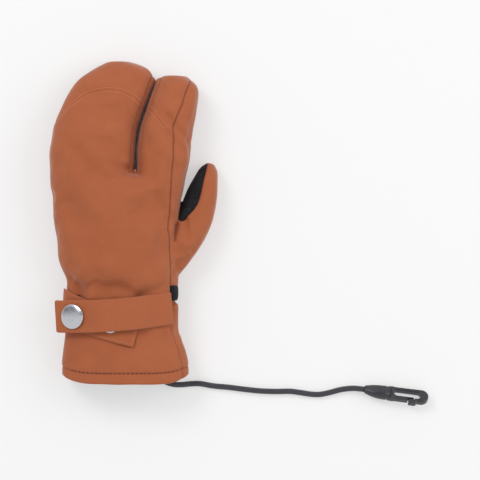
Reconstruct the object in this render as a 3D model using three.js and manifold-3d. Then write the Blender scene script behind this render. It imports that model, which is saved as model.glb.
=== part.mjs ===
// A padded three-finger winter mitten for the left hand, lying palm down.
// X runs across the palm towards the thumb, Y from the hem to the fingertips, Z up from the surface
// it lies on. The origin is on that surface, under the middle of the palm. Millimetres.
import * as THREE from "three";
import { mergeVertices } from "three/addons/utils/BufferGeometryUtils.js";
import Module from "manifold-3d";

// Driving dimensions of the hand
const CUFF_LENGTH = 61; // hem to wrist seam
const HAND_LENGTH = 181; // wrist seam to the tip of the three-finger pocket
const INDEX_LENGTH = 170.4; // wrist seam to the tip of the index finger
const HAND_WIDTH = 105; // across the knuckles
const HAND_THICKNESS = 42;
const HAND_WALL = 3; // shell fabric, wadding and lining
const PALM_CENTRE = 130; // hem to the origin
const SLIT_WIDTH = 2; // between the pocket and the index finger
const SEAM_GAP = 0.3; // between sewn panels
const THUMB_WIDTH = 30;
const THUMB_THICKNESS = 28;

// Driving dimensions of the cuff
const HEM_WIDTH = 95;
const HEM_THICKNESS = 38;
const HEM_SHIFT = 3; // the hem's centre lies this far towards the thumb
const HEM_LIFT = 7; // how far the hem draws back at its sides
const CUFF_WALL = 2.6;
const GATHER_COUNT = 12;
const GATHER_DEPTH = 2.2;

// Driving dimensions of the strap, its tab and the snaps
const STRAP_WIDTH = 24.2;
const STRAP_THICKNESS = 2;
const STRAP_REACH = 6; // how far the free end stands out past the cuff
const STRAP_SLOPE = 4.2; // degrees the strap falls towards its free end
const STRAP_BOW = 2; // how far its middle hangs below the straight line
const TAB_THICKNESS = 1.6;
const TAB_LENGTH = 65.6;
const TAB_SLOPE = 18.6; // degrees the tab falls towards its free end
const TAB_BOW = 1.4; // how far its middle hangs below the straight line
const CLEARANCE = 0.35; // between pieces that rest on one another
const CAP_DIAMETER = 18.4;
const CAP_HEIGHT = 2.4;
const SOCKET_DIAMETER = 12.5;
const SOCKET_HEIGHT = 2;
const STUD_DIAMETER = 12.4;
const STUD_PLATE = 0.7;
const STUD_BALL = 4.4;
const STUD_HEIGHT = 1.6;
const TAB_BELOW_WRIST = 0.8; // from the wrist seam to the middle of the tab's sewn end
const SNAP_RUN = 18.6; // from the tab's sewn end to the closed snap
const SNAP_BELOW_WRIST = 10.4;
const SNAP_SPACING = 26.6;
const STRAP_END = 0.12; // share of the half section that lies below the strap's sewn end

// Driving dimensions of the cord and its hook
const CORD_DIAMETER = 4;
const ANCHOR = { length: 11, width: 8, height: 4.4 };
const SLEEVE_LENGTH = 19.5;
const SLEEVE_CORD_END = 6.4;
const SLEEVE_HOOK_END = 10.6;
const SLEEVE_DEPTH = 0.8; // share of its width
const SLEEVE_DROP = 0.16; // share of its taper that is on the gate's side only
const HOOK_LENGTH = 28.8;
const HOOK_WIDTH = 10.6;
const HOOK_BAR = 2.6;
const HOOK_END = 6; // thickness of its round end
const HOOK_DEPTH = 5.4;
const GATE_INSET = 0.2; // from the hook's outer edge
const GATE_THICKNESS = 3;
const GATE_TONGUE = 0.9; // thickness of the tip that lies inside the nose
const NOSE_START = 14.1;
const NOSE_LENGTH = 5.1;
const NOSE_PROUD = 1.7;
const NOSE_GAP = 0.5;
const HOOK_ROLL = 34; // degrees the hook leans, its back bar up
const HOOK_HEADING = -7.5; // degrees from the X axis

// Colours
const RUST = { color: 0xb4623b, roughness: 0.8, metalness: 0 };
const BLACK_FABRIC = { color: 0x1d2024, roughness: 0.9, metalness: 0 };
const BLACK_CORD = { color: 0x26272b, roughness: 0.85, metalness: 0 };
const BLACK_PLASTIC = { color: 0x2b2b30, roughness: 0.5, metalness: 0 };
const STEEL = { color: 0xc9cbce, roughness: 0.25, metalness: 1 };

// The shares below are of HAND_LENGTH or INDEX_LENGTH for along, of HAND_WIDTH for left, right,
// trim and across, and of HAND_THICKNESS for top.
const HAND_ROWS = [
  { along: 0.0, left: -0.395, right: 0.404, top: 0.82 },
  { along: 0.04, left: -0.392, right: 0.407, top: 0.82 },
  { along: 0.085, left: -0.388, right: 0.41, top: 0.885 },
  { along: 0.13, left: -0.418, right: 0.41, top: 0.94 },
  { along: 0.18, left: -0.44, right: 0.408, top: 0.98 },
  { along: 0.32, left: -0.472, right: 0.408, top: 1.0 },
  { along: 0.43, left: -0.49, right: 0.43, top: 1.0 },
  { along: 0.495, left: -0.5, right: 0.448, top: 0.985 },
  { along: 0.515, left: -0.47, right: 0.42, top: 0.93 },
  { along: 0.53, left: -0.42, right: 0.38, top: 0.78 },
  { along: 0.5365, left: -0.36, right: 0.32, top: 0.6 },
];

// Where the slit between the pocket and the index finger runs.
const SLIT_ROWS = [
  { along: 0.0, across: 0.103 },
  { along: 0.547, across: 0.1035 },
  { along: 0.617, across: 0.105 },
  { along: 0.675, across: 0.113 },
  { along: 0.717, across: 0.125 },
  { along: 0.765, across: 0.15 },
  { along: 0.81, across: 0.176 },
  { along: 0.85, across: 0.2 },
  { along: 0.886, across: 0.224 },
  { along: 0.914, across: 0.242 },
  { along: 1.0, across: 0.3 },
];
const SLIT_END = 0.5365;

// Trim is how far a finger's slit side keeps back from the slit.
const POCKET_ROWS = [
  { along: 0.3, left: -0.42, trim: 0.06, top: 0.8 },
  { along: 0.4, left: -0.475, trim: 0.012, top: 0.93 },
  { along: 0.48, left: -0.506, trim: 0, top: 0.985 },
  { along: 0.547, left: -0.5085, trim: 0, top: 0.98 },
  { along: 0.617, left: -0.507, trim: 0, top: 0.965 },
  { along: 0.675, left: -0.5, trim: 0, top: 0.94 },
  { along: 0.717, left: -0.4876, trim: 0, top: 0.91 },
  { along: 0.765, left: -0.459, trim: 0, top: 0.87 },
  { along: 0.81, left: -0.42, trim: 0, top: 0.83 },
  { along: 0.85, left: -0.388, trim: 0, top: 0.785 },
  { along: 0.886, left: -0.349, trim: 0, top: 0.735 },
  { along: 0.914, left: -0.311, trim: 0.004, top: 0.69 },
  { along: 0.9455, left: -0.254, trim: 0.033, top: 0.62 },
  { along: 0.973, left: -0.19, trim: 0.0955, top: 0.53 },
  { along: 0.989, left: -0.139, trim: 0.1665, top: 0.45 },
  { along: 1.0, left: -0.07, trim: 0.27, top: 0.33 },
];
const INDEX_ROWS = [
  { along: 0.32, right: 0.385, trim: 0.05, top: 0.78 },
  { along: 0.43, right: 0.42, trim: 0.01, top: 0.9 },
  { along: 0.52, right: 0.45, trim: 0, top: 0.94 },
  { along: 0.581, right: 0.476, trim: 0, top: 0.93 },
  { along: 0.645, right: 0.4905, trim: 0, top: 0.915 },
  { along: 0.7, right: 0.499, trim: 0, top: 0.9 },
  { along: 0.756, right: 0.5105, trim: 0, top: 0.88 },
  { along: 0.8, right: 0.526, trim: 0, top: 0.855 },
  { along: 0.855, right: 0.54, trim: 0, top: 0.82 },
  { along: 0.895, right: 0.552, trim: 0, top: 0.78 },
  { along: 0.928, right: 0.555, trim: 0.0015, top: 0.735 },
  { along: 0.953, right: 0.5465, trim: 0.0035, top: 0.69 },
  { along: 0.975, right: 0.5285, trim: 0.006, top: 0.62 },
  { along: 0.99, right: 0.495, trim: 0.013, top: 0.54 },
  { along: 1.0, right: 0.42, trim: 0.0365, top: 0.42 },
];

// The thumb's path in plan. Width and top are shares of THUMB_WIDTH and THUMB_THICKNESS.
const THUMB_ROWS = [
  { along: 0.149, across: 0.286, width: 0.96, top: 0.93 },
  { along: 0.204, across: 0.352, width: 1.03, top: 1.0 },
  { along: 0.257, across: 0.424, width: 1.0, top: 1.0 },
  { along: 0.312, across: 0.49, width: 0.94, top: 0.97 },
  { along: 0.373, across: 0.538, width: 0.88, top: 0.93 },
  { along: 0.442, across: 0.573, width: 0.79, top: 0.88 },
  { along: 0.505, across: 0.603, width: 0.61, top: 0.79 },
  { along: 0.547, across: 0.6235, width: 0.46, top: 0.67 },
  { along: 0.57, across: 0.635, width: 0.24, top: 0.5 },
];

// Along is a share of CUFF_LENGTH from the hem, flare runs from 0 at the wrist to 1 at the hem,
// gather is a share of GATHER_DEPTH and inset is how far the hem's stitching draws in.
const CUFF_ROWS = [
  { along: 0.0, flare: 1.0, gather: 0.1, inset: 0.6 },
  { along: 0.03, flare: 1.0, gather: 0.1, inset: 0 },
  { along: 0.15, flare: 0.96, gather: 0.12, inset: 0.4 },
  { along: 0.36, flare: 0.7, gather: 0.4, inset: 0 },
  { along: 0.52, flare: 0.35, gather: 0.7, inset: 0 },
  { along: 0.69, flare: 0.05, gather: 1.0, inset: 0 },
  { along: 1.0, flare: 0, gather: 1.0, inset: 0 },
];

// Dents in the back of the hand: their centre, half sizes and depth.
const DENTS = [
  { across: -0.27, along: 0.085, halfAcross: 0.06, halfAlong: 0.07, depth: 4 },
  { across: 0.26, along: 0.07, halfAcross: 0.08, halfAlong: 0.035, depth: 2.5 },
  { across: -0.02, along: 0.52, halfAcross: 0.1, halfAlong: 0.03, depth: 2 },
  { across: 0.43, along: 0.64, halfAcross: 0.04, halfAlong: 0.04, depth: 2 },
];

// Seams across the hand in plan.
const INDEX_SEAM = [
  { across: 0.353, along: 0.0 },
  { across: 0.353, along: 0.07 },
  { across: 0.36, along: 0.125 },
  { across: 0.348, along: 0.25 },
  { across: 0.337, along: 0.335 },
  { across: 0.362, along: 0.467 },
  { across: 0.377, along: 0.625 },
  { across: 0.38, along: 0.677 },
  { across: 0.372, along: 0.718 },
  { across: 0.404, along: 0.77 },
  { across: 0.436, along: 0.811 },
  { across: 0.457, along: 0.856 },
  { across: 0.502, along: 0.923 },
  { across: 0.56, along: 1.0 },
];
const TIP_SEAM = [
  { across: -0.56, along: 0.7 },
  { across: -0.4386, along: 0.76 },
  { across: -0.37, along: 0.803 },
  { across: -0.311, along: 0.8315 },
  { across: -0.2295, along: 0.861 },
  { across: -0.123, along: 0.875 },
  { across: -0.05, along: 0.875 },
  { across: 0.025, along: 0.866 },
  { across: 0.099, along: 0.8425 },
  { across: 0.1467, along: 0.819 },
  { across: 0.218, along: 0.792 },
  { across: 0.279, along: 0.7486 },
  { across: 0.3267, along: 0.7105 },
  { across: 0.39, along: 0.65 },
];
const THUMB_SEAT = [
  { across: 0.5, along: 0.068 },
  { across: 0.19, along: 0.075 },
  { across: 0.1, along: 0.12 },
  { across: 0.075, along: 0.2 },
  { across: 0.13, along: 0.27 },
  { across: 0.25, along: 0.325 },
  { across: 0.4, along: 0.36 },
  { across: 0.62, along: 0.36 },
];
const THUMB_SIDE = [
  { across: 0.353, along: 0.068 },
  { across: 0.7, along: 0.068 },
  { across: 0.7, along: 0.326 },
  { across: 0.405, along: 0.326 },
  { across: 0.348, along: 0.242 },
];
const THUMB_GRIP = [
  { across: 0.43, along: 0.333 },
  { across: 0.452, along: 0.35 },
  { across: 0.5, along: 0.376 },
  { across: 0.545, along: 0.41 },
  { across: 0.567, along: 0.46 },
  { across: 0.588, along: 0.52 },
  { across: 0.62, along: 0.6 },
  { across: 0.45, along: 0.6 },
  { across: 0.3, along: 0.4 },
];

// The cord's route from the end sewn inside the hem to the hook.
const CORD_ROUTE = [
  [18, 8.5, 5.5],
  [23, 7, 5.6],
  [29, 3.4, 6.3],
  [34.5, 0.5, 6.8],
  [39.5, -0.9, 5.9],
  [45, -1.1, 4.0],
  [51, -0.6, 2.3],
  [58.4, -0.4, 2.05],
  [68.9, -2.1, 2.05],
  [80.7, -3.2, 2.05],
  [92.6, -4.7, 2.05],
  [104.4, -5.9, 2.05],
  [116.3, -6.3, 2.05],
  [126.7, -6.2, 2.05],
  [134.1, -7.1, 2.05],
  [143, -8.4, 2.05],
  [148.9, -8.5, 2.05],
  [156.3, -7.1, 2.1],
  [165.2, -4.8, 2.5],
  [174.1, -3.9, 3.3],
  [182.3, -4.6, 4.0],
];

// Shape of the sections
const CROWN_SQUARENESS = 2.3;
const BELLY_SQUARENESS = 3;
const WIDEST_LEVEL = 0.46; // share of the height
const PRESS = 1.5; // how far the soft belly would sag below the surface it is flattened on
const FINE_STEPS = 90;
const HAND_STEPS = { crown: 14, belly: 10 };
const THUMB_STEPS = { crown: 12, belly: 7 };
const HOLLOW_STEPS = { crown: 9, belly: 7 };
const CUFF_STEPS = { crown: 16, belly: 4 * GATHER_COUNT };
const CUFF_HOLLOW_STEPS = { crown: 12, belly: 10 };
const CUFF_REACH = 2; // how far the cuff's hollow runs out past its ends before it is cut

const wasm = await Module();
wasm.setup();

const point = (x, y, z) => new THREE.Vector3(x, y, z);
const radians = THREE.MathUtils.degToRad;

// The row of a table at a place between two of its rows.
function rowAt(rows, along) {
  const last = rows.length - 1;
  const clamped = THREE.MathUtils.clamp(along, rows[0].along, rows[last].along);
  let i = 0;
  while (i < last - 1 && rows[i + 1].along < clamped) i++;
  const [a, b] = [rows[i], rows[i + 1]];
  const share = (clamped - a.along) / (b.along - a.along);
  const made = {};
  for (const key of Object.keys(a)) made[key] = a[key] + (b[key] - a[key]) * share;
  return made;
}

// Half a section, from its thumb side over the crown to its outer side, in even steps.
function halfSection(halfWidth, height, squareness, steps) {
  const fine = [];
  for (let i = 0; i <= FINE_STEPS; i++) {
    const c = Math.cos((Math.PI * i) / FINE_STEPS);
    const rise = Math.max(0, 1 - Math.abs(c) ** squareness) ** (1 / squareness);
    fine.push(new THREE.Vector3(halfWidth * c, height * rise, 0));
  }
  return evenPoints(fine, steps);
}

// A polyline walked in even steps.
function evenPoints(fine, steps) {
  const lengths = [0];
  for (let i = 1; i < fine.length; i++) lengths.push(lengths[i - 1] + fine[i].distanceTo(fine[i - 1]));
  const total = lengths[fine.length - 1];
  const made = [];
  for (let k = 0, i = 1; k <= steps; k++) {
    const wanted = (total * k) / steps;
    while (i < fine.length - 1 && lengths[i] < wanted) i++;
    const share = (wanted - lengths[i - 1]) / (lengths[i] - lengths[i - 1]);
    made.push(fine[i - 1].clone().lerp(fine[i], THREE.MathUtils.clamp(share, 0, 1)));
  }
  return made;
}

// A closed ring of points round a section that lies flat on the surface. The section has its left and
// right edge along side from origin, and its top. Inset draws it in by a wall.
function sectionRing({ origin, side, left, right, top }, inset, steps) {
  const centre = (left + right) / 2;
  const halfWidth = (right - left) / 2 - inset;
  const widest = top * WIDEST_LEVEL;
  const crown = halfSection(halfWidth, top - widest - inset, CROWN_SQUARENESS, steps.crown);
  const belly = halfSection(halfWidth, widest + PRESS - inset, BELLY_SQUARENESS, steps.belly);
  const place = (across, z) => origin.clone().addScaledVector(side, centre + across).setZ(z);
  const over = crown.slice(0, -1).map((p) => place(p.x, widest + p.y));
  const under = belly.slice(0, -1).map((p) => place(-p.x, Math.max(inset, widest - p.y)));
  return [...over, ...under];
}

// A closed body through rings of equally many points, its ends closed by a fan each.
function loft(rings) {
  const count = rings[0].length;
  const positions = rings.flat().flatMap((p) => [p.x, p.y, p.z]);
  const faces = [];
  for (let r = 0; r < rings.length - 1; r++)
    for (let k = 0; k < count; k++) {
      const [a, b] = [r * count + k, r * count + ((k + 1) % count)];
      faces.push(a, b, b + count, a, b + count, a + count);
    }
  [0, rings.length - 1].forEach((r, end) => {
    const middle = rings[r].reduce((sum, p) => sum.add(p), point(0, 0, 0)).divideScalar(count);
    const hub = positions.length / 3;
    positions.push(middle.x, middle.y, middle.z);
    for (let k = 0; k < count; k++) {
      const [a, b] = [r * count + k, r * count + ((k + 1) % count)];
      faces.push(...(end ? [hub, a, b] : [hub, b, a]));
    }
  });
  const made = new THREE.BufferGeometry();
  made.setAttribute("position", new THREE.Float32BufferAttribute(positions, 3));
  made.setIndex(facesOut(positions, faces));
  return made;
}

// The faces of a closed body, turned round where they would face inwards.
function facesOut(positions, faces) {
  const at = (i) => point(positions[3 * i], positions[3 * i + 1], positions[3 * i + 2]);
  let volume = 0;
  for (let i = 0; i < faces.length; i += 3)
    volume += at(faces[i]).dot(at(faces[i + 1]).cross(at(faces[i + 2])));
  if (volume > 0) return faces;
  return faces.toReversed();
}

// A geometry as a solid that can be cut and joined.
function solid(geometry) {
  const bare = geometry.clone();
  bare.deleteAttribute("normal");
  bare.deleteAttribute("uv");
  const merged = mergeVertices(bare, 1e-4);
  const made = new wasm.Manifold(
    new wasm.Mesh({
      numProp: 3,
      vertProperties: new Float32Array(merged.attributes.position.array),
      triVerts: new Uint32Array(merged.index.array),
    }),
  );
  return made;
}

// The largest body of a solid, without the crumbs that a cut can leave beside it.
function largest(made) {
  const bodies = made.decompose().sort((a, b) => b.volume() - a.volume());
  return bodies[0];
}

function geometryOf(made) {
  const mesh = made.getMesh();
  const geometry = new THREE.BufferGeometry();
  geometry.setAttribute("position", new THREE.BufferAttribute(mesh.vertProperties, 3));
  geometry.setIndex(new THREE.BufferAttribute(mesh.triVerts, 1));
  return geometry;
}

// A plan outline grown outwards by a distance, for outlines that run anticlockwise.
function grown(outline, distance) {
  const count = outline.length;
  return outline.map((p, i) => {
    const before = outline[(i + count - 1) % count];
    const after = outline[(i + 1) % count];
    const normals = [p.clone().sub(before), after.clone().sub(p)].map((edge) =>
      new THREE.Vector2(edge.y, -edge.x).normalize(),
    );
    const mean = normals[0].clone().add(normals[1]).normalize();
    return p.clone().addScaledVector(mean, distance / Math.max(0.5, mean.dot(normals[0])));
  });
}

// A prism over a plan outline, from one height to another.
function prism(outline, low, high) {
  const shape = new THREE.Shape(outline);
  const geometry = new THREE.ExtrudeGeometry(shape, { depth: high - low, bevelEnabled: false });
  return solid(geometry.translate(0, 0, low));
}

const handX = (across) => across * HAND_WIDTH;
const handY = (along) => CUFF_LENGTH + along * HAND_LENGTH;
const planOf = (rows) => rows.map((r) => new THREE.Vector2(handX(r.across), handY(r.along)));
const slitX = (y) => handX(rowAt(SLIT_ROWS, (y - CUFF_LENGTH) / HAND_LENGTH).across);

const ACROSS = point(1, 0, 0);

// The hand's three lofts as lists of sections.
function handSections() {
  return HAND_ROWS.map((row) => ({
    origin: point(0, handY(row.along), 0),
    side: ACROSS,
    left: handX(row.left),
    right: handX(row.right),
    top: row.top * HAND_THICKNESS,
  }));
}

function pocketSections() {
  return POCKET_ROWS.map((row) => {
    const y = handY(row.along);
    return {
      origin: point(0, y, 0),
      side: ACROSS,
      left: handX(row.left),
      right: slitX(y) - SLIT_WIDTH / 2 - handX(row.trim),
      top: row.top * HAND_THICKNESS,
    };
  });
}

function indexSections() {
  return INDEX_ROWS.map((row) => {
    const y = CUFF_LENGTH + row.along * INDEX_LENGTH;
    return {
      origin: point(0, y, 0),
      side: ACROSS,
      left: slitX(y) + SLIT_WIDTH / 2 + handX(row.trim),
      right: handX(row.right),
      top: row.top * HAND_THICKNESS,
    };
  });
}

function thumbSections() {
  const places = THUMB_ROWS.map((row) => point(handX(row.across), handY(row.along), 0));
  return THUMB_ROWS.map((row, i) => {
    const before = places[Math.max(0, i - 1)];
    const after = places[Math.min(places.length - 1, i + 1)];
    const ahead = after.clone().sub(before).normalize();
    const halfWidth = (row.width * THUMB_WIDTH) / 2;
    return {
      origin: places[i],
      side: point(ahead.y, -ahead.x, 0),
      left: -halfWidth,
      right: halfWidth,
      top: row.top * THUMB_THICKNESS,
    };
  });
}

// A cavity keeps back from the closed end of its finger by a wall.
function cavityOf(sections, wall, steps) {
  const last = sections[sections.length - 1].origin;
  const kept = sections.filter((s) => s.origin.distanceTo(last) >= wall);
  const roomy = kept.filter((s) => s.right - s.left > 4 * wall && s.top > 3 * wall);
  return loft(roomy.map((s) => sectionRing(s, wall, steps)));
}

function dented(geometry) {
  const position = geometry.attributes.position;
  for (let i = 0; i < position.count; i++) {
    const [x, y, z] = [position.getX(i), position.getY(i), position.getZ(i)];
    let drop = 0;
    for (const dent of DENTS) {
      const across = (x - handX(dent.across)) / handX(dent.halfAcross);
      const along = (y - handY(dent.along)) / (dent.halfAlong * HAND_LENGTH);
      drop += dent.depth * Math.exp(-across * across - along * along);
    }
    position.setZ(i, z - drop * THREE.MathUtils.smoothstep(z, HAND_THICKNESS / 2, HAND_THICKNESS * 0.75));
  }
  return geometry;
}

// The cuff's section at a share of its length.
function cuffSection(row) {
  const wrist = HAND_ROWS[0];
  const blend = (atWrist, atHem) => atWrist + (atHem - atWrist) * row.flare;
  return {
    origin: point(0, row.along * CUFF_LENGTH, 0),
    side: ACROSS,
    left: blend(handX(wrist.left), HEM_SHIFT - HEM_WIDTH / 2),
    right: blend(handX(wrist.right), HEM_SHIFT + HEM_WIDTH / 2),
    top: blend(wrist.top * HAND_THICKNESS, HEM_THICKNESS),
  };
}

// The cuff's rings, drawn back at the sides of the hem and gathered underneath at the wrist.
function cuffRings(inset, steps, gathered) {
  return CUFF_ROWS.map((row) => {
    const s = cuffSection(row);
    const centre = (s.left + s.right) / 2;
    const halfWidth = (s.right - s.left) / 2;
    const ring = sectionRing(s, inset + (gathered ? row.inset : 0), steps);
    return ring.map((p) => {
      const outward = (p.x - centre) / halfWidth;
      const lift = HEM_LIFT * Math.abs(outward) ** 5 * (1 - row.along) ** 2;
      const wave = 0.5 - 0.5 * Math.cos(Math.PI * GATHER_COUNT * (outward + 1));
      const under = THREE.MathUtils.smoothstep(-p.z, -s.top * WIDEST_LEVEL, 0);
      const rise = row.gather * GATHER_DEPTH * under * (gathered ? wave : 1.2);
      return point(p.x, p.y + lift, p.z + rise);
    });
  });
}

// The hand's shell, before it is cut into panels.
function handShell() {
  const outer = [
    handSections(),
    pocketSections(),
    indexSections(),
  ].map((sections) => solid(dented(loft(sections.map((q) => sectionRing(q, 0, HAND_STEPS))))));
  const body = outer[0].add(outer[1]).add(outer[2]);
  const thumb = solid(loft(thumbSections().map((q) => sectionRing(q, 0, THUMB_STEPS))));
  const handCavity = handSections().filter((s) => s.origin.y < handY(SLIT_END) - HAND_WALL);
  handCavity[0] = { ...handCavity[0], origin: point(0, CUFF_LENGTH - 1, 0) };
  const cavities = [
    solid(dented(loft(handCavity.map((q) => sectionRing(q, HAND_WALL, HOLLOW_STEPS))))),
    solid(dented(cavityOf(pocketSections(), HAND_WALL, HOLLOW_STEPS))),
    solid(dented(cavityOf(indexSections(), HAND_WALL, HOLLOW_STEPS))),
    solid(cavityOf(thumbSections(), HAND_WALL, HOLLOW_STEPS)),
  ];
  const hollow = cavities.reduce((a, b) => a.add(b));
  const grownBody = [handSections(), pocketSections(), indexSections()]
    .map((sections) => solid(dented(loft(sections.map((q) => sectionRing(q, -SEAM_GAP, HAND_STEPS))))))
    .reduce((a, b) => a.add(b));
  return { body, thumb, hollow, grownBody };
}

// Plan outline of the black palm: it keeps back from the edges of the pocket and the index finger.
const PALM_INSETS = { outer: 6, slit: 1.5, indexEdge: 4, tip: 9, indexTip: 5 };
const PALM_WRAP = 8; // how far the palm's outline runs past the hand's thumb side
const STRIP_MARGIN = 0.2; // how far the slit's strip reaches past the walls it lines
const STRIP_END = 5; // how far the strip runs on past the slit's closed end
function palmOutline() {
  const pocket = pocketSections().filter((s) => s.origin.y > handY(SLIT_END));
  const index = indexSections().filter((s) => s.origin.y > handY(SLIT_END));
  const hand = handSections().filter((s) => s.origin.y < handY(SLIT_END) - PALM_WRAP);
  const tipY = handY(1) - PALM_INSETS.tip;
  const indexTipY = CUFF_LENGTH + INDEX_LENGTH - PALM_INSETS.indexTip;
  const pocketKept = pocket.filter((s) => s.origin.y < tipY - 6);
  const indexKept = index.filter((s) => s.origin.y < indexTipY - 4);
  const [pocketEnd, indexEnd] = [pocketKept[pocketKept.length - 1], indexKept[indexKept.length - 1]];
  const at = (x, y) => new THREE.Vector2(x, y);
  const rightEdge = hand.map((s) => at(s.right + PALM_WRAP, s.origin.y));
  const indexRight = indexKept.map((s) => at(s.right - PALM_INSETS.indexEdge, s.origin.y));
  const indexLeft = indexKept.map((s) => at(s.left + PALM_INSETS.slit, s.origin.y)).reverse();
  const pocketRight = pocketKept.map((s) => at(s.right - PALM_INSETS.slit, s.origin.y));
  const pocketLeft = pocketKept.map((s) => at(s.left + PALM_INSETS.outer, s.origin.y)).reverse();
  const leftEdge = hand.map((s) => at(s.left + PALM_INSETS.outer, s.origin.y)).reverse();
  const nearSlit = handY(SLIT_END) - PALM_INSETS.slit;
  return [
    at(hand[0].left + PALM_INSETS.outer, CUFF_LENGTH - CUFF_REACH),
    at(hand[0].right + PALM_WRAP, CUFF_LENGTH - CUFF_REACH),
    ...rightEdge,
    ...indexRight,
    at(indexEnd.right - 2 * PALM_INSETS.indexEdge, indexTipY),
    at(indexEnd.left + 2 * PALM_INSETS.indexEdge, indexTipY),
    ...indexLeft,
    at(slitX(nearSlit) + 3, nearSlit),
    at(slitX(nearSlit) - 3, nearSlit),
    ...pocketRight,
    at(pocketEnd.right - 2 * PALM_INSETS.outer, tipY),
    at(pocketEnd.left + 2.5 * PALM_INSETS.outer, tipY),
    ...pocketLeft,
    ...leftEdge,
  ];
}

const LOW = -5;
const HIGH = HAND_THICKNESS * 1.5;
const PALM_TOP = HAND_THICKNESS * 0.29;
const SIDE_TOP = HAND_THICKNESS * 0.62;

// The black palm wraps up the thumb side between the thumb and the wrist seam.
function palmRegion(gap) {
  const low = handY(0) - CUFF_REACH;
  const high = THUMB_SIDE[0].along * HAND_LENGTH + CUFF_LENGTH - SEAM_GAP;
  const left = handX(INDEX_SEAM[0].across);
  const patch = [
    new THREE.Vector2(left, low),
    new THREE.Vector2(HAND_WIDTH, low),
    new THREE.Vector2(HAND_WIDTH, high),
    new THREE.Vector2(left, high),
  ];
  const under = prism(grown(palmOutline(), gap), LOW, PALM_TOP + gap);
  return under.add(prism(grown(patch, gap), LOW, HIGH));
}

function thumbRegion(gap) {
  const seat = prism(grown(planOf(THUMB_SEAT).reverse(), gap), LOW, PALM_TOP + gap);
  return seat.add(prism(grown(planOf(THUMB_SIDE), gap), LOW, SIDE_TOP + gap));
}

// The strip that lines both sides of the slit.
function slitRegion(gap) {
  const half = SLIT_WIDTH / 2 + HAND_WALL + STRIP_MARGIN + gap;
  const start = handY(SLIT_END) - STRIP_END - gap;
  const line = SLIT_ROWS.filter((r) => r.along > SLIT_END).map((r) => [handX(r.across), handY(r.along)]);
  line.unshift([slitX(start), start]);
  line.push([line[line.length - 1][0] + 4, handY(1.03)]);
  const rightSide = line.map(([x, y]) => new THREE.Vector2(x + half, y));
  const leftSide = line.map(([x, y]) => new THREE.Vector2(x - half, y)).reverse();
  return prism([...rightSide, ...leftSide], LOW, HIGH);
}

function indexSideRegion(gap) {
  const seam = planOf(INDEX_SEAM);
  const far = HAND_WIDTH;
  const outline = [
    ...seam,
    new THREE.Vector2(far, seam[seam.length - 1].y),
    new THREE.Vector2(far, seam[0].y - CUFF_REACH),
    new THREE.Vector2(seam[0].x, seam[0].y - CUFF_REACH),
  ].reverse();
  return prism(grown(outline, gap), LOW, HIGH);
}

function tipRegion(gap) {
  const arc = planOf(TIP_SEAM);
  const top = handY(1.1);
  const outline = [
    ...arc,
    new THREE.Vector2(arc[arc.length - 1].x, arc[arc.length - 1].y),
    new THREE.Vector2(HAND_WIDTH, arc[arc.length - 1].y),
    new THREE.Vector2(HAND_WIDTH, top),
    new THREE.Vector2(-HAND_WIDTH, top),
    new THREE.Vector2(-HAND_WIDTH, arc[0].y),
  ].filter((p, i, all) => i === 0 || p.distanceTo(all[i - 1]) > 0.01);
  return prism(grown(outline, gap), LOW, HIGH);
}

// Cuts the shell into the panels that are sewn together.
function handPanels() {
  const { body, thumb, hollow, grownBody } = handShell();
  const bodyWall = body.subtract(hollow);
  const thumbWall = thumb.subtract(hollow).subtract(grownBody.subtract(thumbRegion(0)));
  const thumbPiece = largest(thumbWall.add(bodyWall.intersect(thumbRegion(0))));
  const grip = prism(planOf(THUMB_GRIP), PALM_TOP * 0.7, HIGH);
  const gripCut = prism(grown(planOf(THUMB_GRIP), SEAM_GAP), PALM_TOP * 0.7 - SEAM_GAP, HIGH);
  const withoutThumb = bodyWall.subtract(thumbRegion(SEAM_GAP));
  const slitStrip = largest(withoutThumb.intersect(slitRegion(0)));
  const sides = withoutThumb.subtract(slitRegion(SEAM_GAP));
  const palm = largest(sides.intersect(palmRegion(0)));
  const backAndSide = sides.subtract(palmRegion(SEAM_GAP));
  const indexSide = largest(backAndSide.intersect(indexSideRegion(0)));
  const back = backAndSide.subtract(indexSideRegion(SEAM_GAP));
  const tips = back
    .intersect(tipRegion(0))
    .decompose()
    .sort((a, b) => b.volume() - a.volume())
    .slice(0, 2);
  return {
    back_panel: largest(back.subtract(tipRegion(SEAM_GAP))),
    pocket_tip: tips[0],
    index_tip: tips[1],
    index_side: indexSide,
    slit_strip: slitStrip,
    palm_panel: palm,
    thumb: largest(thumbPiece.subtract(gripCut)),
    thumb_grip: largest(thumbPiece.intersect(grip)),
  };
}

// The cuff as its smooth back and its gathered palm side, parted along the side seams.
function cuffPieces() {
  const outer = solid(loft(cuffRings(0, CUFF_STEPS, true)));
  const rings = cuffRings(CUFF_WALL, CUFF_HOLLOW_STEPS, false);
  rings[0] = rings[0].map((p) => point(p.x, p.y - CUFF_REACH, p.z));
  rings.push(rings[rings.length - 1].map((p) => point(p.x, p.y + CUFF_REACH, p.z)));
  const wall = outer.subtract(solid(loft(rings)));
  const section = cuffSection(CUFF_ROWS[0]);
  const span = 2 * HEM_WIDTH;
  const leftLevel = section.top * 0.4;
  const rightLevel = section.top * 0.74;
  const tilt = Math.atan2(rightLevel - leftLevel, section.right - section.left);
  const half = (sign) => {
    const box = new THREE.BoxGeometry(span, 3 * CUFF_LENGTH, span);
    box.translate(0, 0, (sign * (span + SEAM_GAP)) / 2);
    box.rotateY(-tilt);
    return solid(box.translate(HEM_SHIFT, CUFF_LENGTH / 2, (leftLevel + rightLevel) / 2));
  };
  return { cuff_back: largest(wall.intersect(half(1))), cuff_palm: largest(wall.intersect(half(-1))) };
}

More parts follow.
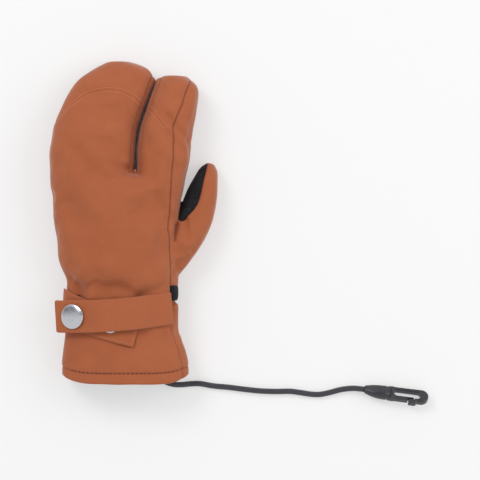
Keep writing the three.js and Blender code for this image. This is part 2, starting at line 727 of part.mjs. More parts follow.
// The bands follow the cuff's upper half section, from the outer side seam to the thumb's side seam.
const BAND_STEPS = 60;
const BAND_LIFT = 0.1; // keeps a band's facets clear of the curve they follow
function bandProfile(y) {
  const section = cuffSection(rowAt(CUFF_ROWS, y / CUFF_LENGTH));
  const centre = (section.left + section.right) / 2;
  const halfWidth = (section.right - section.left) / 2 + CLEARANCE;
  const widest = section.top * WIDEST_LEVEL;
  const height = section.top - widest + CLEARANCE;
  return halfSection(halfWidth, height, CROWN_SQUARENESS, BAND_STEPS)
    .reverse()
    .map((p) => new THREE.Vector2(centre + p.x, widest + p.y));
}

const profileLength = (profile) =>
  profile.slice(1).reduce((sum, p, i) => sum + p.distanceTo(profile[i]), 0);
const WRIST_LENGTH = profileLength(bandProfile(CUFF_LENGTH));

// A place on the cuff at a length from the outer side seam and at a Y, and the way it faces there. A
// band that leaves the cuff runs straight on below a length.
function cuffPlace(length, y, leaves) {
  const profile = bandProfile(y);
  const wanted = (Math.max(length, leaves) * profileLength(profile)) / WRIST_LENGTH;
  let walked = 0;
  let i = 0;
  while (i < profile.length - 2 && walked + profile[i].distanceTo(profile[i + 1]) < wanted) {
    walked += profile[i].distanceTo(profile[i + 1]);
    i++;
  }
  const ahead = profile[i + 1].clone().sub(profile[i]).normalize();
  const at = profile[i].clone().addScaledVector(ahead, wanted - walked + Math.min(0, length - leaves));
  return { at, ahead, outward: new THREE.Vector2(-ahead.y, ahead.x) };
}

const bowAt = (bow, share) => bow * 4 * share * (1 - share);

// A band laid over the cuff: its middle line starts at a length from the side seam and at a Y, and
// falls by a slope. Lift gives how high its underside stands off the cuff at each length.
function band({ start, startY, slope, bow, length, width, thickness, lift, leaves, steps }) {
  const [c, s] = [Math.cos(radians(slope)), Math.sin(radians(slope))];
  const corner = (run, out, height) => {
    const along = start + run * c + out * s;
    const y = startY - run * s + out * c - bowAt(bow, run / length);
    const { at, outward } = cuffPlace(along, y, leaves);
    const raised = at.clone().addScaledVector(outward, height + lift(along));
    return point(raised.x, y, raised.y);
  };
  const rings = [];
  for (let i = 0; i <= steps; i++) {
    const run = (length * i) / steps;
    rings.push([
      corner(run, -width / 2, 0),
      corner(run, 0, 0),
      corner(run, width / 2, 0),
      corner(run, width / 2, thickness),
      corner(run, 0, thickness),
      corner(run, -width / 2, thickness),
    ]);
  }
  return solid(loft(rings));
}

// A frame for a snap at a length and a Y: its axis is square to the cuff, lift and height are above it.
function snapFrame(length, y, lift, height) {
  const { at, ahead, outward } = cuffPlace(length, y, 0);
  const raised = at.clone().addScaledVector(outward, lift);
  const rise = cuffPlace(length, y + 4, 0).at.sub(cuffPlace(length, y - 4, 0).at);
  const acrossBand = point(ahead.x, 0, ahead.y);
  const axis = acrossBand.clone().cross(point(rise.x, 8, rise.y)).normalize();
  const upBand = axis.clone().cross(acrossBand);
  const origin = point(raised.x, y, raised.y).addScaledVector(axis, height);
  return new THREE.Matrix4().makeBasis(acrossBand, upBand, axis).setPosition(origin);
}

// A turned piece whose axis is Z, from a list of radius and height.
function turned(outline, sides) {
  const geometry = new THREE.LatheGeometry(
    outline.map(([r, z]) => new THREE.Vector2(r, z)),
    sides,
  );
  return geometry.rotateX(Math.PI / 2);
}

function snapCap() {
  const radius = CAP_DIAMETER / 2;
  const stem = STUD_BALL / 2;
  return turned(
    [
      [0, -STRAP_THICKNESS - CLEARANCE],
      [stem, -STRAP_THICKNESS - CLEARANCE],
      [stem, CLEARANCE],
      [radius - 0.5, CLEARANCE],
      [radius, CLEARANCE + 0.7],
      [radius * 0.86, CAP_HEIGHT * 0.86],
      [radius * 0.5, CAP_HEIGHT],
      [0, CAP_HEIGHT * 1.04],
    ],
    22,
  );
}

function snapSocket() {
  const radius = SOCKET_DIAMETER / 2;
  const bore = STUD_BALL / 2 + 0.4;
  return turned(
    [
      [bore, 0],
      [radius, 0],
      [radius, SOCKET_HEIGHT * 0.6],
      [radius * 0.85, SOCKET_HEIGHT],
      [bore, SOCKET_HEIGHT],
      [bore, 0],
    ],
    16,
  );
}

function snapStud() {
  const radius = STUD_DIAMETER / 2;
  const ball = STUD_BALL / 2;
  return turned(
    [
      [0, 0],
      [radius, 0],
      [radius, STUD_PLATE * 0.6],
      [radius * 0.9, STUD_PLATE],
      [ball * 0.8, STUD_PLATE],
      [ball, STUD_PLATE + STUD_HEIGHT * 0.6],
      [ball * 0.6, STUD_PLATE + STUD_HEIGHT],
      [0, STUD_PLATE + STUD_HEIGHT],
    ],
    16,
  );
}

// The strap, the tab below it and the snaps that close them.
function fastening() {
  const tab = {
    start: 0,
    startY: CUFF_LENGTH - TAB_BELOW_WRIST,
    slope: TAB_SLOPE,
    bow: TAB_BOW,
    length: TAB_LENGTH,
    width: STRAP_WIDTH,
    thickness: TAB_THICKNESS,
    lift: () => BAND_LIFT,
    leaves: 0,
    steps: 22,
  };
  const onTab = (run) => ({
    length: tab.start + run * Math.cos(radians(TAB_SLOPE)),
    y: tab.startY - run * Math.sin(radians(TAB_SLOPE)) - bowAt(TAB_BOW, run / TAB_LENGTH),
  });
  const [closed, spare, tabEnd] = [SNAP_RUN, SNAP_RUN + SNAP_SPACING, TAB_LENGTH].map(onTab);
  const stack = TAB_THICKNESS + STUD_PLATE + SOCKET_HEIGHT + 3 * CLEARANCE;
  const snapY = CUFF_LENGTH - SNAP_BELOW_WRIST;
  const freeLength = STRAP_REACH + CAP_DIAMETER / 2;
  const freeRise = freeLength * Math.sin(radians(STRAP_SLOPE));
  const strapLength = WRIST_LENGTH * (1 - STRAP_END) - closed.length + freeLength;
  const strap = {
    start: closed.length - freeLength,
    startY: snapY - freeRise + bowAt(STRAP_BOW, freeLength / strapLength),
    slope: -STRAP_SLOPE,
    bow: STRAP_BOW,
    length: strapLength,
    width: STRAP_WIDTH,
    thickness: STRAP_THICKNESS,
    lift: (length) => stack * (1 - THREE.MathUtils.smoothstep(length - tabEnd.length, -4, 14)) + BAND_LIFT,
    leaves: closed.length,
    steps: 28,
  };
  const capFrame = snapFrame(closed.length, snapY, stack + BAND_LIFT, STRAP_THICKNESS);
  const socketLift = TAB_THICKNESS + STUD_PLATE + 2 * CLEARANCE;
  const socketFrame = snapFrame(closed.length, snapY, 0, socketLift);
  const studFrame = snapFrame(closed.length, snapY, 0, TAB_THICKNESS + CLEARANCE);
  const spareFrame = snapFrame(spare.length, spare.y, 0, TAB_THICKNESS + 1.3 * CLEARANCE);
  const hole = new THREE.CylinderGeometry(STUD_BALL / 2 + 0.3, STUD_BALL / 2 + 0.3, 12, 16);
  hole.rotateX(Math.PI / 2).applyMatrix4(capFrame);
  return {
    strap: band(strap).subtract(solid(hole)),
    strap_tab: band(tab),
    snap_cap: solid(snapCap().applyMatrix4(capFrame)),
    snap_socket: solid(snapSocket().applyMatrix4(socketFrame)),
    snap_stud: solid(snapStud().applyMatrix4(studFrame)),
    snap_stud_spare: solid(snapStud().applyMatrix4(spareFrame)),
  };
}

// The cord as a tube along its route.
const CORD_SIDES = 8;
const CORD_STEPS = 32;
function cordGeometry(curve) {
  const section = [];
  for (let i = 0; i < CORD_SIDES; i++) {
    const a = (2 * Math.PI * i) / CORD_SIDES;
    section.push(new THREE.Vector2(Math.cos(a), Math.sin(a)).multiplyScalar(CORD_DIAMETER / 2));
  }
  return new THREE.ExtrudeGeometry(new THREE.Shape(section), {
    steps: CORD_STEPS,
    extrudePath: curve,
  });
}

// A folded tab sewn to the lining inside the hem, which holds the cord's end.
function cordAnchor(curve) {
  const ahead = curve.getTangent(0);
  const start = curve.getPoint(0);
  const box = new THREE.BoxGeometry(ANCHOR.length, ANCHOR.width, ANCHOR.height);
  box.translate(-ANCHOR.length / 2 - SEAM_GAP, 0, 0);
  box.rotateZ(Math.atan2(ahead.y, ahead.x));
  return box.translate(start.x, start.y, start.z);
}

// The hook in its own frame: X from the cord's end to the hook's tip, Y across it.
function hookSleeve() {
  const stations = [
    { x: 0, width: SLEEVE_CORD_END * 0.86 },
    { x: 1, width: SLEEVE_CORD_END },
    { x: SLEEVE_LENGTH * 0.6, width: SLEEVE_HOOK_END * 0.96 },
    { x: SLEEVE_LENGTH, width: SLEEVE_HOOK_END },
  ];
  const sides = 16;
  const rings = stations.map(({ x, width }) => {
    const ring = [];
    for (let i = 0; i < sides; i++) {
      const a = (2 * Math.PI * i) / sides;
      const [c, s] = [Math.cos(a), Math.sin(a)];
      const y = (Math.sign(c) * Math.abs(c) ** 0.75 * width) / 2;
      const drop = (width - SLEEVE_CORD_END) * SLEEVE_DROP;
      ring.push(point(x, y - drop, (Math.sign(s) * Math.abs(s) ** 0.75 * width * SLEEVE_DEPTH) / 2));
    }
    return ring;
  });
  return loft(rings);
}

// The hook's outline in plan: its root, the sprung gate, the back bar, the round end and the nose.
function hookOutline() {
  const half = HOOK_WIDTH / 2;
  const gateLow = -half + GATE_INSET;
  const gateTop = gateLow + GATE_THICKNESS;
  const tongueLow = gateTop - GATE_TONGUE;
  const tongueEnd = NOSE_START + NOSE_LENGTH * 0.8;
  const barLow = half - HOOK_BAR;
  const hollow = HOOK_LENGTH - HOOK_END - barLow;
  const root = 2.8;
  const shape = new THREE.Shape();
  shape.moveTo(0, half - 0.3);
  shape.lineTo(0, -half + 0.3);
  shape.quadraticCurveTo(3, -half + 0.2, 6.5, gateLow);
  shape.lineTo(NOSE_START - NOSE_GAP, gateLow);
  shape.lineTo(NOSE_START - NOSE_GAP, tongueLow);
  shape.lineTo(tongueEnd, tongueLow);
  shape.lineTo(tongueEnd, gateTop);
  shape.lineTo(6.5, gateTop);
  shape.quadraticCurveTo(root + 0.4, gateTop - 0.2, root, 0);
  shape.quadraticCurveTo(root, barLow, root + 2, barLow);
  shape.lineTo(hollow, barLow);
  shape.absarc(hollow, 0, barLow, Math.PI / 2, -Math.PI / 2, true);
  shape.lineTo(tongueEnd + NOSE_GAP, -barLow);
  shape.lineTo(tongueEnd + NOSE_GAP, tongueLow - NOSE_GAP);
  shape.lineTo(NOSE_START, tongueLow - NOSE_GAP);
  shape.lineTo(NOSE_START, -half - NOSE_PROUD);
  shape.lineTo(NOSE_START + NOSE_LENGTH, -half - NOSE_PROUD);
  shape.lineTo(NOSE_START + NOSE_LENGTH + 1.5, -half);
  shape.absarc(HOOK_LENGTH - half, 0, half, -Math.PI / 2, Math.PI / 2, false);
  shape.closePath();
  return shape;
}

function hookBody() {
  const plate = new THREE.ExtrudeGeometry(hookOutline(), {
    depth: HOOK_DEPTH - 1,
    bevelEnabled: true,
    bevelThickness: 0.5,
    bevelSize: 0.25,
    bevelOffset: -0.25,
    bevelSegments: 1,
    curveSegments: 8,
  });
  return plate.translate(0, 0, -(HOOK_DEPTH - 1) / 2);
}

// The sleeve and the hook, leaning a little and laid down at the end of the cord.
function hookPieces(curve) {
  const end = curve.getPoint(1);
  const drop = (SLEEVE_HOOK_END - SLEEVE_CORD_END) * SLEEVE_DROP;
  const sleeve = hookSleeve();
  const hook = hookBody().translate(SLEEVE_LENGTH + SEAM_GAP, -drop, 0);
  for (const piece of [sleeve, hook]) {
    piece.rotateX(radians(-HOOK_ROLL));
    piece.rotateZ(radians(HOOK_HEADING));
  }
  const lowest = Math.min(
    ...[sleeve, hook].map((piece) => {
      piece.computeBoundingBox();
      return piece.boundingBox.min.z;
    }),
  );
  const ahead = point(Math.cos(radians(HOOK_HEADING)), Math.sin(radians(HOOK_HEADING)), 0);
  const place = end.clone().addScaledVector(ahead, SEAM_GAP);
  for (const piece of [sleeve, hook]) piece.translate(place.x, place.y, -lowest);
  return { hook_sleeve: sleeve, hook };
}

// The pieces are shaped with Y counted from the hem, and the group carries them to the origin.
const mitten = new THREE.Group();
mitten.name = "mitten";
mitten.position.y = -PALM_CENTRE;

function addPiece(name, geometry, finish) {
  const mesh = new THREE.Mesh(geometry, new THREE.MeshStandardMaterial(finish));
  mesh.name = name;
  mitten.add(mesh);
}

const FABRICS = { palm_panel: BLACK_FABRIC, thumb_grip: BLACK_FABRIC };
for (const [name, made] of Object.entries({ ...handPanels(), ...cuffPieces() })) {
  addPiece(name, geometryOf(made), FABRICS[name] ?? RUST);
}
for (const [name, made] of Object.entries(fastening())) {
  addPiece(name, geometryOf(made), name.startsWith("snap") ? STEEL : RUST);
}
const route = new THREE.CatmullRomCurve3(CORD_ROUTE.map(([x, y, z]) => point(x, y, z)));
addPiece("cord", cordGeometry(route), BLACK_CORD);
addPiece("cord_anchor", cordAnchor(route), BLACK_FABRIC);
for (const [name, geometry] of Object.entries(hookPieces(route))) addPiece(name, geometry, BLACK_PLASTIC);

export default mitten;
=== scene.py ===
"""A padded three-finger winter mitten for the left hand, lying palm down beside its clip cord.

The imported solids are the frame. The soft pieces are made again here with seams, stitches, folds and
gathers, from the same sections as the solids. Shapes are worked out in millimetres with Y counted from
the hem, and moved to the frame, in metres, when a piece is made.
"""
import math

import bpy
import numpy as np
from mathutils import Matrix
from mathutils import Vector
from mathutils.bvhtree import BVHTree
from mathutils.geometry import tessellate_polygon
from mathutils.kdtree import KDTree


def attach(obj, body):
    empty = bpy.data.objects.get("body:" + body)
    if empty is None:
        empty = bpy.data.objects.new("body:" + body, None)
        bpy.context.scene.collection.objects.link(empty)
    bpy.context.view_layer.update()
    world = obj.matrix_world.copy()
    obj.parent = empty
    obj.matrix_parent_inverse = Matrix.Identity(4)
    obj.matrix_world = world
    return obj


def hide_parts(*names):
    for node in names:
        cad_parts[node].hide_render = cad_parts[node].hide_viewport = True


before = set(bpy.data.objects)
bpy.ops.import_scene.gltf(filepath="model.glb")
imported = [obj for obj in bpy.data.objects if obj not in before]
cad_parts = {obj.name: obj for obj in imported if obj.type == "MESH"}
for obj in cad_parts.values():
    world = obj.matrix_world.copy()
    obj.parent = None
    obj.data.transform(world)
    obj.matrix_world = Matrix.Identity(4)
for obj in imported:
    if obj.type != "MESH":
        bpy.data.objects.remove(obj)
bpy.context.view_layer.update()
scene = bpy.context.scene
RNG = np.random.default_rng(7)

# Sizes in millimetres, as in the solids
PALM_CENTRE = 130.0
CUFF_LENGTH = 61.0
HAND_LENGTH = 181.0
INDEX_LENGTH = 170.4
HAND_WIDTH = 105.0
HAND_THICKNESS = 42.0
HAND_WALL = 3.0
SLIT_WIDTH = 2.0
THUMB_WIDTH = 30.0
THUMB_THICKNESS = 28.0
HEM_WIDTH = 95.0
HEM_THICKNESS = 38.0
HEM_SHIFT = 3.0
HEM_LIFT = 7.0
HEM_FOLD = 8.2
CUFF_WALL = 2.6
GATHER_COUNT = 12
GATHER_DEPTH = 2.2
STRAP_WIDTH = 24.2
STRAP_THICKNESS = 2.0
STRAP_REACH = 6.0
STRAP_SLOPE = 4.2
STRAP_BOW = 2.0
STRAP_END = 0.12
TAB_THICKNESS = 1.6
TAB_LENGTH = 65.6
TAB_SLOPE = 18.6
TAB_BOW = 1.4
TAB_BELOW_WRIST = 0.8
SNAP_RUN = 18.6
SNAP_BELOW_WRIST = 10.4
SNAP_SPACING = 26.6
CLEARANCE = 0.35
CAP_DIAMETER = 18.4
CAP_HEIGHT = 2.4
CAP_RIM = 0.9
SOCKET_HEIGHT = 2.0
STUD_DIAMETER = 12.4
STUD_PLATE = 0.7
STUD_BALL = 4.4
STUD_HEIGHT = 1.6
CROWN_SQUARENESS = 2.3
BELLY_SQUARENESS = 3.0
WIDEST_LEVEL = 0.46
PRESS = 1.5
CORD_DIAMETER = 4.0
BAND_LIFT = 0.1
SEAM_GAP = 0.3
ANCHOR_SIZE = (11.0, 8.0, 4.4)
SLEEVE_LENGTH = 19.5
SLEEVE_START = 0.28
SLEEVE_CORD_END = 6.4
SLEEVE_HOOK_END = 10.6
SLEEVE_DEPTH = 0.8
SLEEVE_DROP = 0.16
HOOK_LENGTH = 28.8
HOOK_WIDTH = 10.6
HOOK_BAR = 2.6
HOOK_END = 6.0
HOOK_DEPTH = 5.4
GATE_INSET = 0.2
GATE_THICKNESS = 3.0
GATE_TONGUE = 0.9
GATE_ROOT = 6.5
NOSE_START = 14.1
NOSE_LENGTH = 5.1
NOSE_PROUD = 1.7
NOSE_GAP = 0.5
HOOK_ROLL = 34.0
HOOK_HEADING = -7.5
HOOK_FILLET = 0.85
CORD_SWELL = 0.16
BRAID_PITCH = 6.4
BRAID_DEPTH = 0.42
BRAID_SHADE = 0.22

# Sections of the hand: along, left, right, top
HAND_ROWS = [
    (0.0, -0.395, 0.404, 0.82),
    (0.04, -0.392, 0.407, 0.82),
    (0.085, -0.388, 0.41, 0.885),
    (0.13, -0.418, 0.41, 0.94),
    (0.18, -0.44, 0.408, 0.98),
    (0.32, -0.472, 0.408, 1.0),
    (0.43, -0.49, 0.43, 1.0),
    (0.495, -0.5, 0.448, 0.985),
    (0.515, -0.47, 0.42, 0.93),
    (0.53, -0.42, 0.38, 0.78),
    (0.5365, -0.36, 0.32, 0.6),
]
# The slit: along, across
SLIT_ROWS = [
    (0.0, 0.103),
    (0.547, 0.1035),
    (0.617, 0.105),
    (0.675, 0.113),
    (0.717, 0.125),
    (0.765, 0.15),
    (0.81, 0.176),
    (0.85, 0.2),
    (0.886, 0.224),
    (0.914, 0.242),
    (1.0, 0.3),
]
SLIT_END = 0.5365
SLIT_BOTTOM = CUFF_LENGTH + SLIT_END * HAND_LENGTH
# The pocket for three fingers: along, left, trim, top
POCKET_ROWS = [
    (0.3, -0.42, 0.06, 0.8),
    (0.4, -0.475, 0.012, 0.93),
    (0.48, -0.506, 0.0, 0.985),
    (0.547, -0.5085, 0.0, 0.98),
    (0.617, -0.507, 0.0, 0.965),
    (0.675, -0.5, 0.0, 0.94),
    (0.717, -0.4876, 0.0, 0.91),
    (0.765, -0.4575, 0.0, 0.87),
    (0.81, -0.425, 0.0, 0.83),
    (0.85, -0.392, 0.0, 0.785),
    (0.886, -0.351, 0.0, 0.735),
    (0.914, -0.311, 0.004, 0.69),
    (0.9455, -0.254, 0.033, 0.62),
    (0.973, -0.19, 0.0955, 0.53),
    (0.989, -0.139, 0.1665, 0.45),
    (1.0, -0.07, 0.27, 0.33),
]
# The index finger: along, right, trim, top
INDEX_ROWS = [
    (0.32, 0.385, 0.05, 0.78),
    (0.43, 0.42, 0.01, 0.9),
    (0.52, 0.45, 0.0, 0.94),
    (0.581, 0.476, 0.0, 0.93),
    (0.645, 0.4905, 0.0, 0.915),
    (0.7, 0.499, 0.0, 0.9),
    (0.756, 0.5105, 0.0, 0.88),
    (0.8, 0.526, 0.0, 0.855),
    (0.855, 0.54, 0.0, 0.82),
    (0.895, 0.552, 0.0, 0.78),
    (0.928, 0.555, 0.0015, 0.735),
    (0.953, 0.5465, 0.0035, 0.69),
    (0.975, 0.5285, 0.006, 0.62),
    (0.99, 0.495, 0.013, 0.54),
    (1.0, 0.42, 0.0365, 0.42),
]
# The thumb: along, across, width, top
THUMB_ROWS = [
    (0.149, 0.286, 0.96, 0.93),
    (0.204, 0.352, 1.03, 1.0),
    (0.257, 0.424, 1.0, 1.0),
    (0.312, 0.49, 0.94, 0.97),
    (0.373, 0.538, 0.88, 0.93),
    (0.442, 0.573, 0.79, 0.88),
    (0.505, 0.603, 0.61, 0.79),
    (0.547, 0.6235, 0.46, 0.67),
    (0.57, 0.635, 0.24, 0.5),
]
# The cuff: along, flare, gather
CUFF_ROWS = [
    (0.0, 1.0, 0.1),
    (0.03, 1.0, 0.1),
    (0.15, 0.96, 0.12),
    (0.36, 0.7, 0.4),
    (0.52, 0.35, 0.7),
    (0.69, 0.05, 1.0),
    (1.0, 0.0, 1.0),
]
# Seams in plan: across, along
INDEX_SEAM = [
    (0.353, -0.02),
    (0.353, 0.07),
    (0.36, 0.125),
    (0.353, 0.262),
    (0.3385, 0.299),
    (0.3485, 0.345),
    (0.362, 0.467),
    (0.377, 0.625),
    (0.38, 0.677),
    (0.372, 0.718),
    (0.404, 0.77),
    (0.436, 0.811),
    (0.457, 0.856),
    (0.502, 0.923),
    (0.56, 1.0),
]
TIP_SEAM = [
    (-0.56, 0.7),
    (-0.4386, 0.76),
    (-0.37, 0.803),
    (-0.311, 0.8315),
    (-0.2295, 0.861),
    (-0.123, 0.875),
    (-0.05, 0.875),
    (0.025, 0.866),
    (0.099, 0.8425),
    (0.1467, 0.819),
    (0.218, 0.792),
    (0.279, 0.7486),
    (0.3267, 0.7105),
    (0.39, 0.65),
]
THUMB_SEAT = [
    (0.5, 0.068),
    (0.19, 0.075),
    (0.1, 0.12),
    (0.075, 0.2),
    (0.13, 0.27),
    (0.25, 0.325),
    (0.4, 0.36),
    (0.62, 0.36),
]
THUMB_SIDE = [
    (0.353, 0.068),
    (0.7, 0.068),
    (0.7, 0.326),
    (0.405, 0.326),
    (0.348, 0.242),
]
THUMB_GRIP = [
    (0.425, 0.336),
    (0.4607, 0.349),
    (0.488, 0.3653),
    (0.52, 0.386),
    (0.543, 0.405),
    (0.557, 0.426),
    (0.5707, 0.458),
    (0.587, 0.506),
    (0.603, 0.55),
    (0.62, 0.6),
    (0.45, 0.6),
    (0.3, 0.4),
]
CORD_ROUTE = [
    (18, 8.5, 5.5),
    (23, 7, 5.6),
    (29, 3.4, 6.3),
    (34.5, 0.5, 6.8),
    (39.5, -0.9, 5.9),
    (45, -1.1, 4.0),
    (51, -0.6, 2.3),
    (58.4, -0.4, 2.05),
    (68.9, -2.1, 2.05),
    (80.7, -3.2, 2.05),
    (92.6, -4.7, 2.05),
    (104.4, -5.9, 2.05),
    (116.3, -6.3, 2.05),
    (126.7, -6.2, 2.05),
    (134.1, -7.1, 2.05),
    (143, -8.4, 2.05),
    (148.9, -8.5, 2.05),
    (156.3, -7.1, 2.1),
    (165.2, -4.8, 2.5),
    (174.1, -3.9, 3.3),
    (182.3, -4.6, 4.0),
]


def to_frame(points):
    """Millimetres from the hem as metres from the origin."""
    return (np.asarray(points, float) - (0.0, PALM_CENTRE, 0.0)) * 0.001


def smoothstep(x, low, high):
    t = np.clip((x - low) / (high - low), 0.0, 1.0)
    return t * t * (3.0 - 2.0 * t)


def bell(x, width):
    """A smooth bump, 1 in the middle and next to nothing beyond twice its width."""
    return np.exp(-((x / width) ** 2))


def lengths_along(line):
    """The length walked at each point of a line."""
    return np.concatenate([[0.0], np.cumsum(np.linalg.norm(np.diff(line, axis=0), axis=1))])


def at_lengths(wanted, walked, values):
    """Rows of values along a line, read at the wanted lengths."""
    return np.stack([np.interp(wanted, walked, one) for one in values.T], 1)


def directions(line):
    """The way a line heads at each of its points."""
    ahead = np.gradient(line, axis=0)
    return ahead / np.linalg.norm(ahead, axis=1)[:, None]


def curve_through(xs, ys, wanted):
    """A smooth curve through rows, without overshoot."""
    xs = np.asarray(xs, float)
    ys = np.asarray(ys, float)
    wanted = np.clip(wanted, xs[0], xs[-1])
    h = np.diff(xs)
    d = np.diff(ys) / h
    m = np.zeros(len(xs))
    m[0] = d[0]
    m[-1] = d[-1]
    for i in range(1, len(xs) - 1):
        if d[i - 1] * d[i] > 0:
            w1 = 2 * h[i] + h[i - 1]
            w2 = h[i] + 2 * h[i - 1]
            m[i] = (w1 + w2) / (w1 / d[i - 1] + w2 / d[i])
    k = np.clip(np.searchsorted(xs, wanted) - 1, 0, len(xs) - 2)
    t = (wanted - xs[k]) / h[k]
    a = (1 + 2 * t) * (1 - t) ** 2
    b = t * (1 - t) ** 2
    c = t * t * (3 - 2 * t)
    e = t * t * (t - 1)
    return a * ys[k] + b * h[k] * m[k] + c * ys[k + 1] + e * h[k] * m[k + 1]


def row_value(rows, i, along):
    """One column of a table, read at places along it."""
    table = np.array(rows, float)
    return curve_through(table[:, 0], table[:, i], along)


def plan(rows):
    """Shares of the hand's width and length as millimetres."""
    table = np.array(rows, float)
    return np.stack([table[:, 0] * HAND_WIDTH, CUFF_LENGTH + table[:, 1] * HAND_LENGTH], 1)


def slit_x(y):
    along = (np.asarray(y, float) - CUFF_LENGTH) / HAND_LENGTH
    return HAND_WIDTH * row_value(SLIT_ROWS, 1, along)


def half_section(squareness, steps):
    """Half a unit section in even steps, from +X over the top to -X."""
    angle = np.linspace(0.0, math.pi, 400)
    across = np.cos(angle)
    rise = np.maximum(0.0, 1.0 - np.abs(across) ** squareness) ** (1.0 / squareness)
    points = np.stack([across, rise * 0.75], 1)
    walked = lengths_along(points)
    wanted = np.linspace(0.0, walked[-1], steps + 1)
    return np.interp(wanted, walked, across), np.interp(wanted, walked, rise)


def section_ring(origin, side, left, right, top, inset=0.0, crown=48, belly=40, floor=0.0):
    """A closed ring round a section that lies on the floor."""
    centre = (left + right) / 2
    half = (right - left) / 2 - inset
    widest = top * WIDEST_LEVEL
    cx, cz = half_section(CROWN_SQUARENESS, crown)
    bx, bz = half_section(BELLY_SQUARENESS, belly)
    over_x = centre + half * cx[:-1]
    over_z = widest + (top - widest - inset) * cz[:-1]
    under_x = centre - half * bx[:-1]
    under_z = np.maximum(floor + inset, widest - (widest + PRESS - inset) * bz[:-1])
    across = np.concatenate([over_x, under_x])
    z = np.concatenate([over_z, under_z])
    ring = np.asarray(origin, float)[None, :] + across[:, None] * np.asarray(side, float)[None, :]
    ring[:, 2] = z
    return ring


def loft(rings):
    """A closed body through rings, as vertices and triangles."""
    rings = np.asarray(rings, float)
    count, size = rings.shape[:2]
    r, k = np.meshgrid(np.arange(count - 1), np.arange(size), indexing="ij")
    a = (r * size + k).ravel()
    b = (r * size + (k + 1) % size).ravel()
    faces = [np.stack([a, b + size, b], 1), np.stack([a, a + size, b + size], 1)]
    points = rings.reshape(-1, 3)
    middles = np.stack([rings[0].mean(0), rings[-1].mean(0)])
    hub = len(points)
    k = np.arange(size)
    after = (k + 1) % size
    last = (count - 1) * size
    faces.append(np.stack([np.full(size, hub), k, after], 1))
    faces.append(np.stack([np.full(size, hub + 1), last + after, last + k], 1))
    return np.concatenate([points, middles]), np.concatenate(faces)


ACROSS = (1.0, 0.0, 0.0)


def hand_section(y):
    along = (y - CUFF_LENGTH) / HAND_LENGTH
    values = [float(row_value(HAND_ROWS, i, along)) for i in (1, 2, 3)]
    return values[0] * HAND_WIDTH, values[1] * HAND_WIDTH, values[2] * HAND_THICKNESS


def evened(values, width):
    """Rows of numbers, smoothed along them."""
    values = np.asarray(values, float)
    reach = int(3 * width) + 1
    kernel = np.exp(-0.5 * (np.arange(-reach, reach + 1) / width) ** 2)
    kernel /= kernel.sum()
    before = 2 * values[0] - values[reach:0:-1]
    after = 2 * values[-1] - values[-2 : -reach - 2 : -1]
    padded = np.concatenate([before, values, after])
    return np.stack([np.convolve(padded[:, i], kernel, "valid") for i in range(values.shape[1])], 1)


def turned_up(short, turn):
    """How far the underside is off the floor near a finger's end."""
    reach, height = turn
    near = np.clip(1.0 - np.asarray(short, float) / reach, 0.0, 1.0)
    return height * (1.0 - np.sqrt(1.0 - near**2))


# How near a finger's end its underside leaves the floor, and by how much
FINGER_TURN = (9.0, 5.0)
THUMB_TURN = (9.0, 4.5)
THUMB_DOME = 1.4


def finger_rings(wall, spacing):
    """The lofts of the hand, the pocket, the index finger and the thumb, as lists of rings."""
    steps = {"crown": 56, "belly": 44} if spacing < 2 else {"crown": 28, "belly": 22}
    lofts = []

    def straight(ys, edges, end, share):
        edges = evened(edges, share / spacing)
        rise = turned_up(end - ys, FINGER_TURN)
        rings = []
        for y, (left, right, top), floor in zip(ys, edges, rise):
            if right - left > 4 * wall:
                rings.append(section_ring((0, y, 0), ACROSS, left, right, top, wall, floor=floor, **steps))
        lofts.append(rings)

    start = CUFF_LENGTH - (3.0 if wall else 0.0)
    ys = np.arange(start, SLIT_BOTTOM - wall + 0.01, spacing)
    straight(ys, [hand_section(y) for y in ys], math.inf, 2.5)
    for rows, length, side in ((POCKET_ROWS, HAND_LENGTH, -1), (INDEX_ROWS, INDEX_LENGTH, 1)):
        ys = np.arange(CUFF_LENGTH + rows[0][0] * length, CUFF_LENGTH + length - wall + 0.01, spacing)
        along = (ys - CUFF_LENGTH) / length
        outer, trim, top = [row_value(rows, i, along) for i in (1, 2, 3)]
        outer = evened((outer * HAND_WIDTH)[:, None], 4.0 / spacing)[:, 0]
        inner = slit_x(ys) + side * (SLIT_WIDTH / 2 + trim * HAND_WIDTH)
        left, right = (outer, inner) if side < 0 else (inner, outer)
        straight(ys, np.stack([left, right, top * HAND_THICKNESS], 1), CUFF_LENGTH + length, 2.0)
    rows = np.array(THUMB_ROWS)
    where = np.linspace(0.0, 1.0, 60 if spacing < 2 else 24)
    knots = np.linspace(0.0, 1.0, len(rows))
    across, along, width, top = [curve_through(knots, rows[:, i], where) for i in (1, 0, 2, 3)]
    path = np.stack([HAND_WIDTH * across, CUFF_LENGTH + HAND_LENGTH * along], 1)
    width, top = evened(np.stack([width * THUMB_WIDTH, top * THUMB_THICKNESS], 1), len(where) / 45).T
    ahead = directions(path)
    short = np.linalg.norm(path - path[-1], axis=1)
    floor = turned_up(short, THUMB_TURN)
    rings = []
    for i in range(len(where)):
        half = width[i] / 2
        if short[i] >= wall and half > 2 * wall:
            side = (ahead[i][1], -ahead[i][0], 0.0)
            at = (path[i][0], path[i][1], 0)
            rings.append(section_ring(at, side, -half, half, top[i], wall, floor=floor[i], **steps))
    if not wall:
        for t in (0.4, 0.75, 0.95):
            flat = math.sqrt(1 - t * t)
            at = (*(path[-1] + THUMB_DOME * t * ahead[-1]), 0)
            low = floor[-1] + (1 - flat) * 2
            reach = half * flat
            rings.append(section_ring(at, side, -reach, reach, top[-1] * flat, floor=low, **steps))
    lofts.append(rings)
    return lofts


